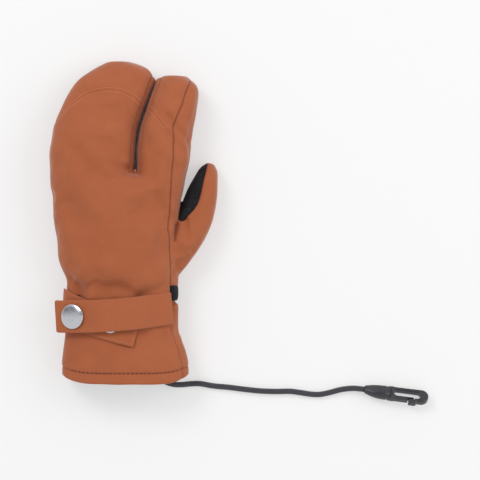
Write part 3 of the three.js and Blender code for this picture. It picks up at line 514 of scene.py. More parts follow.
def mesh_from(points, faces, name="scratch"):
    mesh = bpy.data.meshes.new(name)
    points = np.asarray(points, np.float32)
    faces = np.asarray(faces, np.int32)
    sides = faces.shape[1]
    mesh.vertices.add(len(points))
    mesh.vertices.foreach_set("co", points.ravel())
    mesh.loops.add(faces.size)
    mesh.loops.foreach_set("vertex_index", faces.ravel())
    mesh.polygons.add(len(faces))
    mesh.polygons.foreach_set("loop_start", np.arange(0, faces.size, sides, dtype=np.int32))
    mesh.update(calc_edges=True)
    mesh.validate()
    return mesh


def read_mesh(mesh):
    points = np.zeros(len(mesh.vertices) * 3, np.float32)
    mesh.vertices.foreach_get("co", points)
    mesh.calc_loop_triangles()
    faces = np.zeros(len(mesh.loop_triangles) * 3, np.int32)
    mesh.loop_triangles.foreach_get("vertices", faces)
    return points.reshape(-1, 3).astype(float), faces.reshape(-1, 3)


def linked(name, data):
    """A new object in the scene."""
    obj = bpy.data.objects.new(name, data)
    scene.collection.objects.link(obj)
    return obj


def evaluated_mesh(obj):
    """What an object's modifiers make of it."""
    evaluated = obj.evaluated_get(bpy.context.evaluated_depsgraph_get())
    result = read_mesh(evaluated.to_mesh())
    evaluated.to_mesh_clear()
    return result


def joined(bodies):
    """Several bodies as one."""
    starts = np.cumsum([0] + [len(points) for points, _ in bodies[:-1]])
    points = np.concatenate([points for points, _ in bodies])
    return points, np.concatenate([faces + start for (_, faces), start in zip(bodies, starts)])


def remeshed(bodies, voxel):
    """One skin round several closed bodies."""
    mesh = mesh_from(*joined(bodies))
    obj = linked("scratch", mesh)
    modifier = obj.modifiers.new("remesh", "REMESH")
    modifier.mode = "VOXEL"
    modifier.voxel_size = voxel
    modifier.adaptivity = 0.0
    result = evaluated_mesh(obj)
    bpy.data.objects.remove(obj)
    bpy.data.meshes.remove(mesh)
    return result


def edges_of(faces):
    pairs = np.concatenate([faces[:, [0, 1]], faces[:, [1, 2]], faces[:, [2, 0]]])
    return np.unique(np.sort(pairs, axis=1), axis=0)


def smoothed(points, faces, rounds):
    """Evens a skin out: in each round a point goes halfway to the middle of its neighbours."""
    edges = edges_of(faces)
    count = len(points)
    degree = np.maximum(np.bincount(edges.ravel(), minlength=count).astype(float), 1.0)
    points = points.copy()
    for _ in range(rounds):
        total = np.zeros_like(points)
        for axis in range(3):
            total[:, axis] = np.bincount(edges[:, 0], points[edges[:, 1], axis], count)
            total[:, axis] += np.bincount(edges[:, 1], points[edges[:, 0], axis], count)
        points += 0.5 * (total / degree[:, None] - points)
    return points


def normals_of(points, faces):
    a, b, c = points[faces[:, 0]], points[faces[:, 1]], points[faces[:, 2]]
    flat = np.cross(b - a, c - a)
    total = np.zeros_like(points)
    for i in range(3):
        for axis in range(3):
            total[:, axis] += np.bincount(faces[:, i], flat[:, axis], len(points))
    return total / np.maximum(np.linalg.norm(total, axis=1), 1e-12)[:, None]


def facing_out(points, faces):
    """The faces, turned round when they face into the body."""
    outward = points - points.mean(0)
    return faces[:, ::-1] if (normals_of(points, faces) * outward).sum() < 0 else faces


def from_segment(p, start, end):
    """In plan, the nearest place on a segment as a share of it, and the distance to it."""
    (ax, ay), (bx, by) = start, end
    ex, ey = bx - ax, by - ay
    t = np.clip(((p[:, 0] - ax) * ex + (p[:, 1] - ay) * ey) / (ex * ex + ey * ey + 1e-12), 0, 1)
    return t, np.hypot(p[:, 0] - ax - t * ex, p[:, 1] - ay - t * ey)


def inside(points, outline):
    """Signed distance in plan to a closed outline, positive inside."""
    p = points[:, :2]
    a = np.asarray(outline, float)
    b = np.roll(a, -1, axis=0)
    best = np.full(len(p), 1e9)
    odd = np.zeros(len(p), bool)
    for (ax, ay), (bx, by) in zip(a, b):
        best = np.minimum(best, from_segment(p, (ax, ay), (bx, by))[1])
        crosses = (ay > p[:, 1]) != (by > p[:, 1])
        at = ax + (p[:, 1] - ay) * (bx - ax) / (by - ay if abs(by - ay) > 1e-12 else 1e-12)
        odd ^= crosses & (p[:, 0] < at)
    return np.where(odd, best, -best)


# A corner this near the cut, as a share of its edge, is moved onto it
CUT_NEAR = 0.2


def cut(points, faces, field, labels, source, label):
    """Cuts a skin along a field's zero line, and labels the source's faces on its positive side."""
    field = field.copy()
    points = points.copy()
    edges = edges_of(faces)
    a, b = edges[:, 0], edges[:, 1]
    crossing = field[a] * field[b] < 0
    a, b = a[crossing], b[crossing]
    t = field[a] / (field[a] - field[b])
    for ends, others, share in ((a, b, t), (b, a, 1 - t)):
        close = share < CUT_NEAR
        moved = points[ends[close]] + (points[others[close]] - points[ends[close]]) * share[close][:, None]
        points[ends[close]] = moved
        field[ends[close]] = 0.0
    a, b = edges[:, 0], edges[:, 1]
    crossing = field[a] * field[b] < 0
    a, b = a[crossing], b[crossing]
    t = (field[a] / (field[a] - field[b]))[:, None]
    count = len(points)
    keys = a.astype(np.int64) * count + b
    order = np.argsort(keys)
    keys = keys[order]
    fresh = (points[a] + (points[b] - points[a]) * t)[order]
    sign = np.sign(field)

    def between(i, j):
        key = np.minimum(i, j).astype(np.int64) * count + np.maximum(i, j)
        return count + np.searchsorted(keys, key)

    s = sign[faces]
    positive = (s > 0).any(1)
    negative = (s < 0).any(1)
    mixed = positive & negative
    out = [faces[~mixed]]
    side = [np.where(positive[~mixed], 1, -1)]
    old = [labels[~mixed]]
    for turn in range(3):
        i, j, k = (faces[:, (turn + n) % 3] for n in range(3))
        si, sj, sk = sign[i], sign[j], sign[k]
        alone = mixed & (si != 0) & (sj == -si) & (sk == -si)
        p = between(i[alone], j[alone])
        q = between(i[alone], k[alone])
        out += [
            np.stack([i[alone], p, q], 1),
            np.stack([p, j[alone], k[alone]], 1),
            np.stack([p, k[alone], q], 1),
        ]
        side += [si[alone], -si[alone], -si[alone]]
        old += [labels[alone]] * 3
        pair = mixed & (si == 0) & (sj == -sk) & (sj != 0)
        p = between(j[pair], k[pair])
        out += [np.stack([i[pair], j[pair], p], 1), np.stack([i[pair], p, k[pair]], 1)]
        side += [sj[pair], sk[pair]]
        old += [labels[pair]] * 2
    faces = np.concatenate(out).astype(np.int32)
    side = np.concatenate(side)
    labels = np.concatenate(old)
    labels = np.where((side > 0) & (labels == source), label, labels)
    return np.concatenate([points, fresh]), faces, labels


def tree_of(points):
    tree = KDTree(len(points))
    for i, point in enumerate(points):
        tree.insert(point, i)
    tree.balance()
    return tree


def nearest(points, targets):
    """Distance from each point to the nearest target."""
    tree = tree_of(targets)
    return np.array([tree.find(p)[2] for p in points])


def surface_of(points, faces):
    return BVHTree.FromPolygons(points.tolist(), faces.tolist())


def to_surface(points, body):
    """Distance from each point to the surface of a body."""
    tree = surface_of(*body)
    return np.array([tree.find_nearest(p)[3] for p in points])


# Camera
VIEW_WIDTH = 0.36
VIEW_CENTRE = (0.0889, 0.1076 - 0.001 * PALM_CENTRE)
DISTANCE = 3.0
camera_data = bpy.data.cameras.new("camera")
camera_data.sensor_width = 36.0
camera_data.lens = 36.0 * DISTANCE / VIEW_WIDTH
camera = linked("camera", camera_data)
camera.location = (*VIEW_CENTRE, DISTANCE + 0.01)
scene.camera = camera

# Materials


def srgb(r, g, b):
    """A colour as seen, from 0 to 255, in the shader's own scale."""
    shares = (r / 255, g / 255, b / 255)
    return tuple(v / 12.92 if v < 0.0405 else ((v + 0.055) / 1.055) ** 2.4 for v in shares) + (1.0,)


class Nodes:
    """A short way to write a node tree."""

    def __init__(self, tree):
        self.tree = tree

    def node(self, kind, settings=None, **inputs):
        made = self.tree.nodes.new(kind)
        for key, value in (settings or {}).items():
            setattr(made, key, value)
        for key, value in inputs.items():
            self.set(made.inputs[key.replace("_", " ")], value)
        return made

    def set(self, socket, value):
        if isinstance(value, bpy.types.NodeSocket):
            self.tree.links.new(value, socket)
        else:
            socket.default_value = value

    def set_all(self, made, *values):
        for socket, value in zip(made.inputs, values):
            self.set(socket, value)
        return made.outputs[0]


class Shader(Nodes):
    """A material with its nodes."""

    def __init__(self, name):
        self.material = bpy.data.materials.new(name)
        self.material.use_nodes = True
        super().__init__(self.material.node_tree)
        self.surface = self.tree.nodes["Principled BSDF"]
        self.where = self.node("ShaderNodeTexCoord").outputs["Object"]

    def noise(self, scale, detail, roughness):
        settings = {"Scale": scale, "Detail": detail, "Roughness": roughness}
        return self.node("ShaderNodeTexNoise", Vector=self.where, **settings).outputs["Fac"]

    def math(self, operation, a, b):
        return self.set_all(self.node("ShaderNodeMath", {"operation": operation}), a, b)

    def spread(self, value, low, high, out_low=0.0, out_high=1.0):
        made = self.node("ShaderNodeMapRange", {"clamp": True})
        return self.set_all(made, value, low, high, out_low, out_high)

    def mix(self, share, a, b):
        made = self.node("ShaderNodeMix", {"data_type": "RGBA"}, Factor=share)
        self.set(made.inputs[6], a)
        self.set(made.inputs[7], b)
        return made.outputs[2]

    def bump(self, height, distance, strength):
        made = self.node("ShaderNodeBump", Height=height, Distance=distance, Strength=strength)
        return made.outputs["Normal"]

    def attribute(self, name):
        return self.node("ShaderNodeAttribute", {"attribute_name": name}).outputs["Fac"]

    def finish(self, **inputs):
        for key, value in inputs.items():
            self.set(self.surface.inputs[key.replace("_", " ")], value)
        return self.material


# The wave texture's scale for a pitch of one metre
WAVE_SCALE = 0.1592


def woven(sh, pitch):
    """A fine plain weave as a height, from threads along two directions."""
    heights = []
    for angle in (45.0, -45.0):
        turned = sh.node("ShaderNodeMapping", Vector=sh.where, Rotation=(0.6, 0.35, math.radians(angle)))
        wave = sh.node(
            "ShaderNodeTexWave",
            {"wave_type": "BANDS", "bands_direction": "X", "wave_profile": "SIN"},
            Vector=turned.outputs[0],
            Scale=WAVE_SCALE / pitch,
            Distortion=0.6,
            Detail=1.0,
            Detail_Scale=0.6,
        )
        heights.append(wave.outputs["Fac"])
    return sh.math("MULTIPLY", heights[0], heights[1])


def softshell():
    sh = Shader("softshell")
    weave = woven(sh, 0.0009)
    fine = sh.noise(2600.0, 3.0, 0.6)
    patches = sh.noise(60.0, 3.0, 0.55)
    broad = sh.noise(14.0, 2.0, 0.5)
    base = sh.mix(sh.spread(patches, 0.3, 0.7), srgb(167, 90, 51), srgb(159, 83, 46))
    base = sh.mix(sh.spread(broad, 0.35, 0.7, 0.0, 0.35), base, srgb(175, 98, 59))
    base = sh.mix(sh.spread(fine, 0.35, 0.65, 0.0, 0.18), base, srgb(132, 66, 38))
    # Darker along the seams: painted shade in the seam valleys, with the seams' own dark line
    seam = sh.attribute("seam")
    base = sh.mix(sh.spread(seam, 0.0, 1.0, 0.0, 0.55), base, srgb(92, 34, 17))
    height = sh.math("ADD", sh.math("MULTIPLY", weave, 0.6), sh.math("MULTIPLY", fine, 0.7))
    normal = sh.bump(height, 0.00006, 0.8)
    return sh.finish(Base_Color=base, Roughness=0.85, Sheen_Weight=0.3, Sheen_Roughness=0.4, Normal=normal)


def suede():
    sh = Shader("palm_suede")
    grain = sh.noise(1400.0, 4.0, 0.65)
    speck = sh.noise(700.0, 2.0, 0.7)
    cloud = sh.noise(90.0, 3.0, 0.55)
    base = sh.mix(sh.spread(cloud, 0.3, 0.7), srgb(17, 18, 21), srgb(25, 26, 30))
    base = sh.mix(sh.spread(speck, 0.56, 0.72, 0.0, 0.6), base, srgb(50, 52, 58))
    # Darker along the seams: painted shade in the seam valleys, with the seams' own dark line
    base = sh.mix(sh.spread(sh.attribute("seam"), 0.0, 1.0, 0.0, 0.6), base, srgb(10, 10, 12))
    normal = sh.bump(sh.math("ADD", grain, speck), 0.00018, 0.9)
    return sh.finish(
        Base_Color=base,
        Roughness=0.9,
        Specular_IOR_Level=0.25,
        Sheen_Weight=0.08,
        Sheen_Roughness=0.4,
        Normal=normal,
    )


def lining():
    sh = Shader("lining")
    nap = sh.noise(900.0, 3.0, 0.6)
    base = sh.mix(nap, srgb(40, 40, 44), srgb(66, 66, 72))
    return sh.finish(Base_Color=base, Roughness=0.95, Sheen_Weight=0.4, Normal=sh.bump(nap, 0.0003, 0.8))


def thread(name, light, dark):
    sh = Shader(name)
    ply = sh.noise(2200.0, 2.0, 0.5)
    base = sh.mix(ply, light, dark)
    return sh.finish(Base_Color=base, Roughness=0.6, Sheen_Weight=0.2, Normal=sh.bump(ply, 0.00008, 0.7))


def snap_metal():
    sh = Shader("snap_metal")
    swirl = sh.noise(380.0, 3.0, 0.6)
    spots = sh.noise(140.0, 2.0, 0.5)
    rough = sh.spread(spots, 0.3, 0.7, 0.2, 0.32)
    base = sh.mix(swirl, srgb(205, 207, 211), srgb(186, 189, 194))
    return sh.finish(Base_Color=base, Metallic=1.0, Roughness=rough, Normal=sh.bump(swirl, 0.00002, 0.5))


def braid():
    sh = Shader("cord_braid")
    fibre = sh.noise(3000.0, 3.0, 0.6)
    # Darker in the grooves between the braid's strands: painted shade, read from the relief's depth
    braid_groove_shade = sh.attribute("braid_groove_shade")
    base = sh.mix(braid_groove_shade, srgb(20, 20, 24), srgb(60, 58, 66))
    base = sh.mix(sh.spread(fibre, 0.4, 0.7, 0.0, 0.35), base, srgb(84, 82, 90))
    return sh.finish(Base_Color=base, Roughness=0.75, Sheen_Weight=0.3, Normal=sh.bump(fibre, 0.0001, 0.7))


def plastic():
    sh = Shader("clip_plastic")
    pores = sh.noise(1800.0, 3.0, 0.6)
    scuff = sh.noise(220.0, 4.0, 0.6)
    base = sh.mix(sh.spread(scuff, 0.4, 0.75), srgb(42, 41, 47), srgb(54, 53, 60))
    rough = sh.spread(scuff, 0.3, 0.7, 0.26, 0.38)
    return sh.finish(Base_Color=base, Roughness=rough, Normal=sh.bump(pores, 0.00005, 0.6))


MATERIALS = {
    "softshell": softshell(),
    "palm_suede": suede(),
    "lining": lining(),
    "thread": thread("thread", srgb(215, 139, 99), srgb(188, 109, 70)),
    "thread_dark": thread("thread_dark", srgb(96, 36, 18), srgb(72, 25, 12)),
    "thread_black": thread("thread_black", srgb(52, 52, 58), srgb(30, 30, 34)),
    "snap_metal": snap_metal(),
    "cord_braid": braid(),
    "clip_plastic": plastic(),
}


def piece(name, points, faces, slot, nodes=(), materials=None, which=None, attributes=None):
    """Makes a piece of the mitten. Its material is the slot's, or one of several, which says which."""
    mesh = mesh_from(to_frame(points), faces, name)
    for material in materials or [slot]:
        mesh.materials.append(MATERIALS[material])
    if which is not None:
        mesh.polygons.foreach_set("material_index", np.asarray(which, np.int32))
    mesh.polygons.foreach_set("use_smooth", np.ones(len(mesh.polygons), bool))
    for key, values in (attributes or {}).items():
        layer = mesh.attributes.new(key, "FLOAT", "POINT")
        layer.data.foreach_set("value", np.asarray(values, np.float32))
    mesh.update()
    obj = linked(name, mesh)
    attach(obj, "root")
    if nodes:
        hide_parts(*nodes)
    return obj


def tidy(points, faces, *arrays):
    """Drops the points that no face uses."""
    used, flat = np.unique(faces.ravel(), return_inverse=True)
    return (points[used], flat.reshape(faces.shape)) + tuple(a[used] for a in arrays)


# The hand's skin
VOXEL = 0.62
LOFTS = [loft(rings) for rings in finger_rings(0.0, 1.0)]
skin_points, skin_faces = remeshed(LOFTS, VOXEL)
skin_points = smoothed(skin_points, skin_faces, 14 if VOXEL < 1 else 5)

# The padded cloth settles: a coarse copy is blown up a little with its seams held, and the skin takes
# the short waves of its give, up to a cap in millimetres
SETTLE_VOXEL = 4.0
SETTLE_FRAMES = 18
SETTLE_PRESSURE = 3.0
SETTLE_SHRINK = -0.045
SETTLE_EVEN = 0.85
SETTLE_CAP = 2.0


def settled(bodies, held):
    """A cloth run on a coarse copy. Gives its points and how far each one moved."""
    points, faces = remeshed(bodies, SETTLE_VOXEL)
    points = smoothed(points, faces, 3)
    mesh = mesh_from(to_frame(points), faces)
    obj = linked("settling", mesh)
    group = obj.vertex_groups.new(name="held")
    for index, weight in enumerate(held(points)):
        if weight > 0.02:
            group.add([index], float(weight), "REPLACE")
    modifier = obj.modifiers.new("cloth", "CLOTH")
    cloth = modifier.settings
    cloth.quality = 6
    cloth.mass = 0.2
    cloth.tension_stiffness = cloth.compression_stiffness = 18.0
    cloth.shear_stiffness = 6.0
    cloth.bending_stiffness = 0.6
    cloth.vertex_group_mass = "held"
    cloth.use_pressure = True
    cloth.uniform_pressure_force = SETTLE_PRESSURE
    cloth.shrink_min = SETTLE_SHRINK
    cloth.effector_weights.gravity = 0.0
    modifier.point_cache.frame_start = 1
    modifier.point_cache.frame_end = SETTLE_FRAMES
    for step in range(1, SETTLE_FRAMES + 1):
        scene.frame_set(step)
    result = evaluated_mesh(obj)[0]
    bpy.data.objects.remove(obj)
    scene.frame_set(1)
    give = result * 1000.0 + (0.0, PALM_CENTRE, 0.0) - points
    give = give - SETTLE_EVEN * smoothed(give, faces, 30)
    far = np.linalg.norm(give, axis=1)
    give *= (np.minimum(far, SETTLE_CAP) / np.maximum(far, 1e-6))[:, None]
    return points, give


def spread_from(sources, values, points, count=5):
    """Values at scattered places, spread to other points."""
    tree = tree_of(sources)
    out = np.zeros((len(points), values.shape[1]))
    for i, point in enumerate(points):
        found = tree.find_n(point, count)
        weights = np.array([1.0 / (distance + 0.8) ** 2 for _, _, distance in found])
        out[i] = weights @ values[[index for _, index, _ in found]] / weights.sum()
    return out


# Labels of the hand's panels
BACK, PALM, SLIT, INDEX_SIDE, POCKET_TIP, INDEX_TIP, THUMB, GRIP = range(8)
PALM_TOP = HAND_THICKNESS * 0.29
SIDE_TOP = HAND_THICKNESS * 0.62
STRIP_HALF = 3.3
STRIP_START = 2.2
# The palm's black cloth comes up at the wrist on the thumb's side
PATCH_LENGTH = 0.068
PATCH_HEIGHT = 30.0
# Places beyond the mitten on every side
FAR_OUT = 150.0
PAST_TIPS = 300.0


def palm_outline():
    """The black palm's edge in plan, which keeps back from the silhouette."""
    outer, edge, tip, index_tip = 6.0, 4.0, 9.0, 5.0
    ys = np.arange(CUFF_LENGTH - 6, SLIT_BOTTOM - 7, 4.0)
    hand_left = [(hand_section(max(y, CUFF_LENGTH))[0] + outer, y) for y in ys]
    hand_right = [(hand_section(max(y, CUFF_LENGTH))[1] + 8, y) for y in ys]
    tip_y = CUFF_LENGTH + HAND_LENGTH - tip
    pocket_y = np.arange(SLIT_BOTTOM, tip_y - 5, 3.0)
    along = (pocket_y - CUFF_LENGTH) / HAND_LENGTH
    left = HAND_WIDTH * row_value(POCKET_ROWS, 1, along) + outer
    trim = HAND_WIDTH * row_value(POCKET_ROWS, 2, along)
    right = slit_x(pocket_y) - SLIT_WIDTH / 2 - trim - 1.5
    index_end = CUFF_LENGTH + INDEX_LENGTH - index_tip
    index_y = np.arange(SLIT_BOTTOM, index_end - 3, 3.0)
    along = (index_y - CUFF_LENGTH) / INDEX_LENGTH
    index_right = HAND_WIDTH * row_value(INDEX_ROWS, 1, along) - edge
    index_left = slit_x(index_y) + SLIT_WIDTH / 2 + 1.5
    outline = list(hand_right)
    outline += list(zip(index_right, index_y))
    outline += [(index_right[-1] - edge, index_end), (index_left[-1] + 2 * edge, index_end)]
    outline += list(zip(index_left, index_y))[::-1]
    outline += [(slit_x(SLIT_BOTTOM - 6), SLIT_BOTTOM - 6)]
    outline += list(zip(right, pocket_y))
    outline += [(right[-1] - outer, tip_y), (left[-1] + outer, tip_y)]
    outline += list(zip(left, pocket_y))[::-1]
    outline += hand_left[::-1]
    return outline


def thumb_region(p):
    body = np.minimum.reduce([to_surface(p, LOFTS[i]) for i in range(3)])
    seat = np.minimum(inside(p, plan(THUMB_SEAT)), PALM_TOP - p[:, 2])
    flank = np.minimum(inside(p, plan(THUMB_SIDE)), SIDE_TOP - p[:, 2])
    return np.maximum(np.maximum(body - to_surface(p, LOFTS[3]), seat), flank)


def grip_region(p):
    return np.minimum(inside(p, plan(THUMB_GRIP)), p[:, 2] - PALM_TOP * 0.7)


def slit_region(p):
    before = np.minimum(0.0, p[:, 1] - (SLIT_BOTTOM + STRIP_START))
    return STRIP_HALF - np.hypot(p[:, 0] - slit_x(p[:, 1]), before)


def palm_region(p):
    x, y, z = p.T
    patch_top = CUFF_LENGTH + PATCH_LENGTH * HAND_LENGTH
    patch = np.minimum(np.minimum(x - HAND_WIDTH * INDEX_SEAM[0][0], patch_top - y), PATCH_HEIGHT - z)
    return np.maximum(np.minimum(inside(p, palm_outline()), PALM_TOP - z), patch)


def side_region(p):
    seam = plan(INDEX_SEAM)
    return inside(p, list(seam) + [(FAR_OUT, seam[-1][1]), (FAR_OUT, seam[0][1])])


def tips_region(p):
    arc = plan(TIP_SEAM)
    corners = [(FAR_OUT, arc[-1][1]), (FAR_OUT, PAST_TIPS), (-FAR_OUT, PAST_TIPS), (-FAR_OUT, arc[0][1])]
    return inside(p, list(arc) + corners)


# Each panel's region is a field, positive inside. They are cut in this order, each out of one panel
REGIONS = (
    (thumb_region, BACK, THUMB),
    (grip_region, THUMB, GRIP),
    (slit_region, BACK, SLIT),
    (palm_region, BACK, PALM),
    (side_region, BACK, INDEX_SIDE),
    (tips_region, BACK, POCKET_TIP),
)
labels = np.full(len(skin_faces), BACK)
for region, source, label in REGIONS:
    field = region(skin_points)
    skin_points, skin_faces, labels = cut(skin_points, skin_faces, field, labels, source, label)
middle = skin_points[skin_faces].mean(1)
labels = np.where((labels == POCKET_TIP) & (middle[:, 0] > slit_x(middle[:, 1])), INDEX_TIP, labels)


# Seams
def seam_points(pairs):
    """The points that lie on the seams between pairs of panels."""
    n = len(skin_points)
    a = np.concatenate([skin_faces[:, [0, 1]], skin_faces[:, [1, 2]], skin_faces[:, [2, 0]]])
    a = np.sort(a, axis=1)
    owner = np.tile(np.arange(len(skin_faces)), 3)
    key = a[:, 0].astype(np.int64) * n + a[:, 1]
    order = np.argsort(key, kind="stable")
    key, owner, a = key[order], owner[order], a[order]
    same = np.flatnonzero(key[1:] == key[:-1])
    first, second = labels[owner[same]], labels[owner[same + 1]]
    wanted = np.zeros(len(same), bool)
    for one, other in pairs:
        wanted |= (first == one) & (second == other)
        wanted |= (first == other) & (second == one)
    return np.unique(a[same[wanted]].ravel())


# Panels that meet in a seam with a valley
NEIGHBOURS = (
    (BACK, (INDEX_SIDE, SLIT, PALM, THUMB)),
    (INDEX_SIDE, (INDEX_TIP, POCKET_TIP, SLIT, PALM, THUMB, GRIP)),
    (SLIT, (POCKET_TIP, INDEX_TIP, PALM)),
    (PALM, (POCKET_TIP, INDEX_TIP, THUMB, GRIP)),
    (THUMB, (GRIP,)),
)
VALLEYS = [(panel, other) for panel, others in NEIGHBOURS for other in others]
FLAT_SEAMS = [(BACK, POCKET_TIP), (BACK, INDEX_TIP)]
seam_line = skin_points[seam_points(VALLEYS)]
# Below the crotch of the thumb, its seam and the index seam are one
MERGED_BEYOND, MERGED_FROM, MERGED_TO, MERGED_ABOVE = 38.6, 75.0, 107.0, 12.0
across, along, high = seam_line.T
merged = (across > MERGED_BEYOND) & (along > MERGED_FROM) & (along < MERGED_TO) & (high > MERGED_ABOVE)
seam_line = seam_line[~merged]
valley = nearest(skin_points, seam_line)
flat = nearest(skin_points, skin_points[seam_points(FLAT_SEAMS)])
wrist = np.abs(skin_points[:, 1] - CUFF_LENGTH)

# Folds in plan: from, its depth, to, its depth, half width
FOLDS = [
    ((-31.5, 61.0), 4.6, (-39.0, 90.0), 0.3, 5.2),
    ((-23.5, 61.0), -1.6, (-20.4, 80.0), 0.0, 4.2),
    ((-8.0, 61.0), 0.8, (-10.0, 74.0), 0.0, 5.0),
    ((14.0, 66.0), 2.6, (31.0, 74.5), 0.6, 3.2),
    ((10.0, 73.0), -0.7, (28.0, 81.0), 0.0, 4.0),
    ((5.5, 160.6), 2.2, (-13.0, 165.5), 0.2, 3.0),
    ((4.0, 153.5), -0.8, (-40.0, 144.0), 0.0, 6.0),
    ((35.0, 200.0), 1.9, (50.0, 181.0), 1.1, 2.3),
    ((36.5, 190.0), -0.7, (46.0, 178.0), 0.0, 3.0),
    ((-51.0, 143.0), 0.5, (-48.5, 129.0), 0.5, 2.0),
    ((24.0, 118.0), 0.9, (33.0, 95.0), 0.5, 5.0),
    ((42.5, 119.0), 1.7, (38.1, 105.0), 0.3, 1.8),
    ((48.0, 122.0), 2.4, (49.5, 108.0), 0.6, 2.4),
    ((53.0, 100.0), 1.2, (57.5, 106.5), 0.5, 1.5),
    ((40.0, 84.0), 0.9, (46.0, 97.0), 0.2, 2.6),
]


def folds_in(p, table):
    depth = np.zeros(len(p))
    for first, start, last, end, width in table:
        t, away = from_segment(p, first, last)
        rim = bell(away / width - 2.1, 1.0)
        depth += (start + (end - start) * t) * (bell(away, width) - 0.2 * rim)
    return depth


def soft_noise(p, size, seed):
    """A smooth random field, from sines in a few directions."""
    rng = np.random.default_rng(seed)
    total = np.zeros(len(p))
    for _ in range(9):
        direction = rng.normal(size=3)
        direction /= np.linalg.norm(direction)
        wave = size * rng.uniform(0.7, 1.5)
        total += np.sin(p @ direction * 2 * math.pi / wave + rng.uniform(0, 7))
    return total / 3.0


def held_back(p):
    """Where the cloth is held: the wrist's end, the slit, and what lies on the floor."""
    near_wrist = bell(p[:, 1] - CUFF_LENGTH, 3.0)
    from_slit = np.abs(p[:, 0] - slit_x(p[:, 1]))
    slit_reach = np.where(p[:, 1] > SLIT_BOTTOM - 6, from_slit, math.inf)
    near_slit = bell(slit_reach, 7.0)
    on_floor = smoothstep(-p[:, 2], -3.0, -1.0)
    near_seam = 0.7 * bell(nearest(p, seam_line), 2.5)
    return np.maximum.reduce([near_wrist, near_slit, on_floor, near_seam])


give = np.zeros_like(skin_points)
coarse_points, coarse_give = settled(LOFTS, held_back)
give = spread_from(coarse_points, coarse_give, skin_points)
faces_up = smoothstep(normals_of(skin_points, skin_faces)[:, 2], 0.05, 0.75)
give *= (faces_up * (1.0 - np.clip(held_back(skin_points), 0.0, 1.0)))[:, None]
give = smoothed(give, skin_faces, 24)

# Depth and half width of the dips along the seams: the line itself, and the cloth drawn in beside it
SEAM_DIPS = ((0.85, 0.7), (0.55, 3.6))
FLAT_SEAM_DIPS = ((0.22, 0.7), (0.22, 3.5))
WRIST_DIPS = ((1.1, 2.0),)
FOLDS_FROM, FOLDS_FULL = 10.0, 20.0


def dips(distance, shapes):
    return sum(depth * bell(distance, width) for depth, width in shapes)


normals = normals_of(skin_points, skin_faces)
upper = smoothstep(skin_points[:, 2], FOLDS_FROM, FOLDS_FULL)
depth = folds_in(skin_points, FOLDS) * upper
depth += 0.35 * soft_noise(skin_points, 26.0, 3) * upper
flat_on = 0.4 + 0.6 * smoothstep(np.abs(normals[:, 2]), 0.05, 0.5)
depth += dips(valley, SEAM_DIPS) * flat_on
depth += dips(flat, FLAT_SEAM_DIPS)
depth += dips(wrist, WRIST_DIPS)
skin_points = skin_points - normals * depth[:, None] + give
skin_points[:, 2] = np.maximum(skin_points[:, 2], 0.0)

# Below their upper edges, the two sides of the slit lean against one another
LEAN_GAP = 0.03
LEAN_MOST = 2.1
LEAN_FULL, LEAN_NONE = 11.0, 16.5
off_slit = skin_points[:, 0] - slit_x(skin_points[:, 1])
beyond = np.abs(off_slit) - LEAN_GAP
lean = smoothstep(-skin_points[:, 2], -LEAN_NONE, -LEAN_FULL)
lean *= smoothstep(skin_points[:, 1], SLIT_BOTTOM - 4.0, SLIT_BOTTOM)
pulled = np.minimum(beyond, LEAN_MOST) * bell(np.maximum(0.0, beyond - 1.8), 1.5)
skin_points[:, 0] -= np.sign(off_slit) * np.maximum(0.0, pulled) * lean
# Painted shade in the seam valleys, with the seams' own dark line; the materials read it as the seam
# attribute
seam_shade = bell(valley, 0.55)

# Panels
PANELS = (
    ("back_panel", BACK, "softshell"),
    ("palm_panel", PALM, "palm_suede"),
    ("slit_strip", SLIT, "softshell"),
    ("index_side", INDEX_SIDE, "softshell"),
    ("pocket_tip", POCKET_TIP, "softshell"),
    ("index_tip", INDEX_TIP, "softshell"),
    ("thumb", THUMB, "softshell"),
    ("thumb_grip", GRIP, "palm_suede"),
)
open_end = skin_points[skin_faces][:, :, 1].max(1) < CUFF_LENGTH + 0.9
for name, label, material in PANELS:
    chosen = (labels == label) & ~open_end
    p, f, shade = tidy(skin_points, skin_faces[chosen], seam_shade)
    made = piece(name + "_skin", p, f, material, [name], attributes={"seam": shade})

# Lining, which closes the hollow and opens at the wrist
LINING_VOXEL = 1.4
LINING_FOLDS = 1.3
inner = [loft(rings) for rings in finger_rings(HAND_WALL, 2.0)]
lining_points, lining_faces = remeshed(inner, LINING_VOXEL)
lining_points = smoothed(lining_points, lining_faces, 3)
upper = smoothstep(lining_points[:, 2], FOLDS_FROM, FOLDS_FULL)
lining_points[:, 2] -= LINING_FOLDS * folds_in(lining_points, FOLDS) * upper
inside_hand = lining_points[lining_faces][:, :, 1].min(1) > CUFF_LENGTH - 1.5
p, f = tidy(lining_points, lining_faces[inside_hand][:, ::-1])
piece("hand_lining", p, f, "softshell", materials=["lining"])

# Cuff
CUFF_HALF = 300
STITCH_PITCH = 3.15
WRIST = hand_section(CUFF_LENGTH)


def cuff_section(along):
    flare = float(row_value(CUFF_ROWS, 1, along))
    wrist_left, wrist_right, wrist_top = WRIST
    left = wrist_left + (HEM_SHIFT - HEM_WIDTH / 2 - wrist_left) * flare
    right = wrist_right + (HEM_SHIFT + HEM_WIDTH / 2 - wrist_right) * flare
    return left, right, wrist_top + (HEM_THICKNESS - wrist_top) * flare


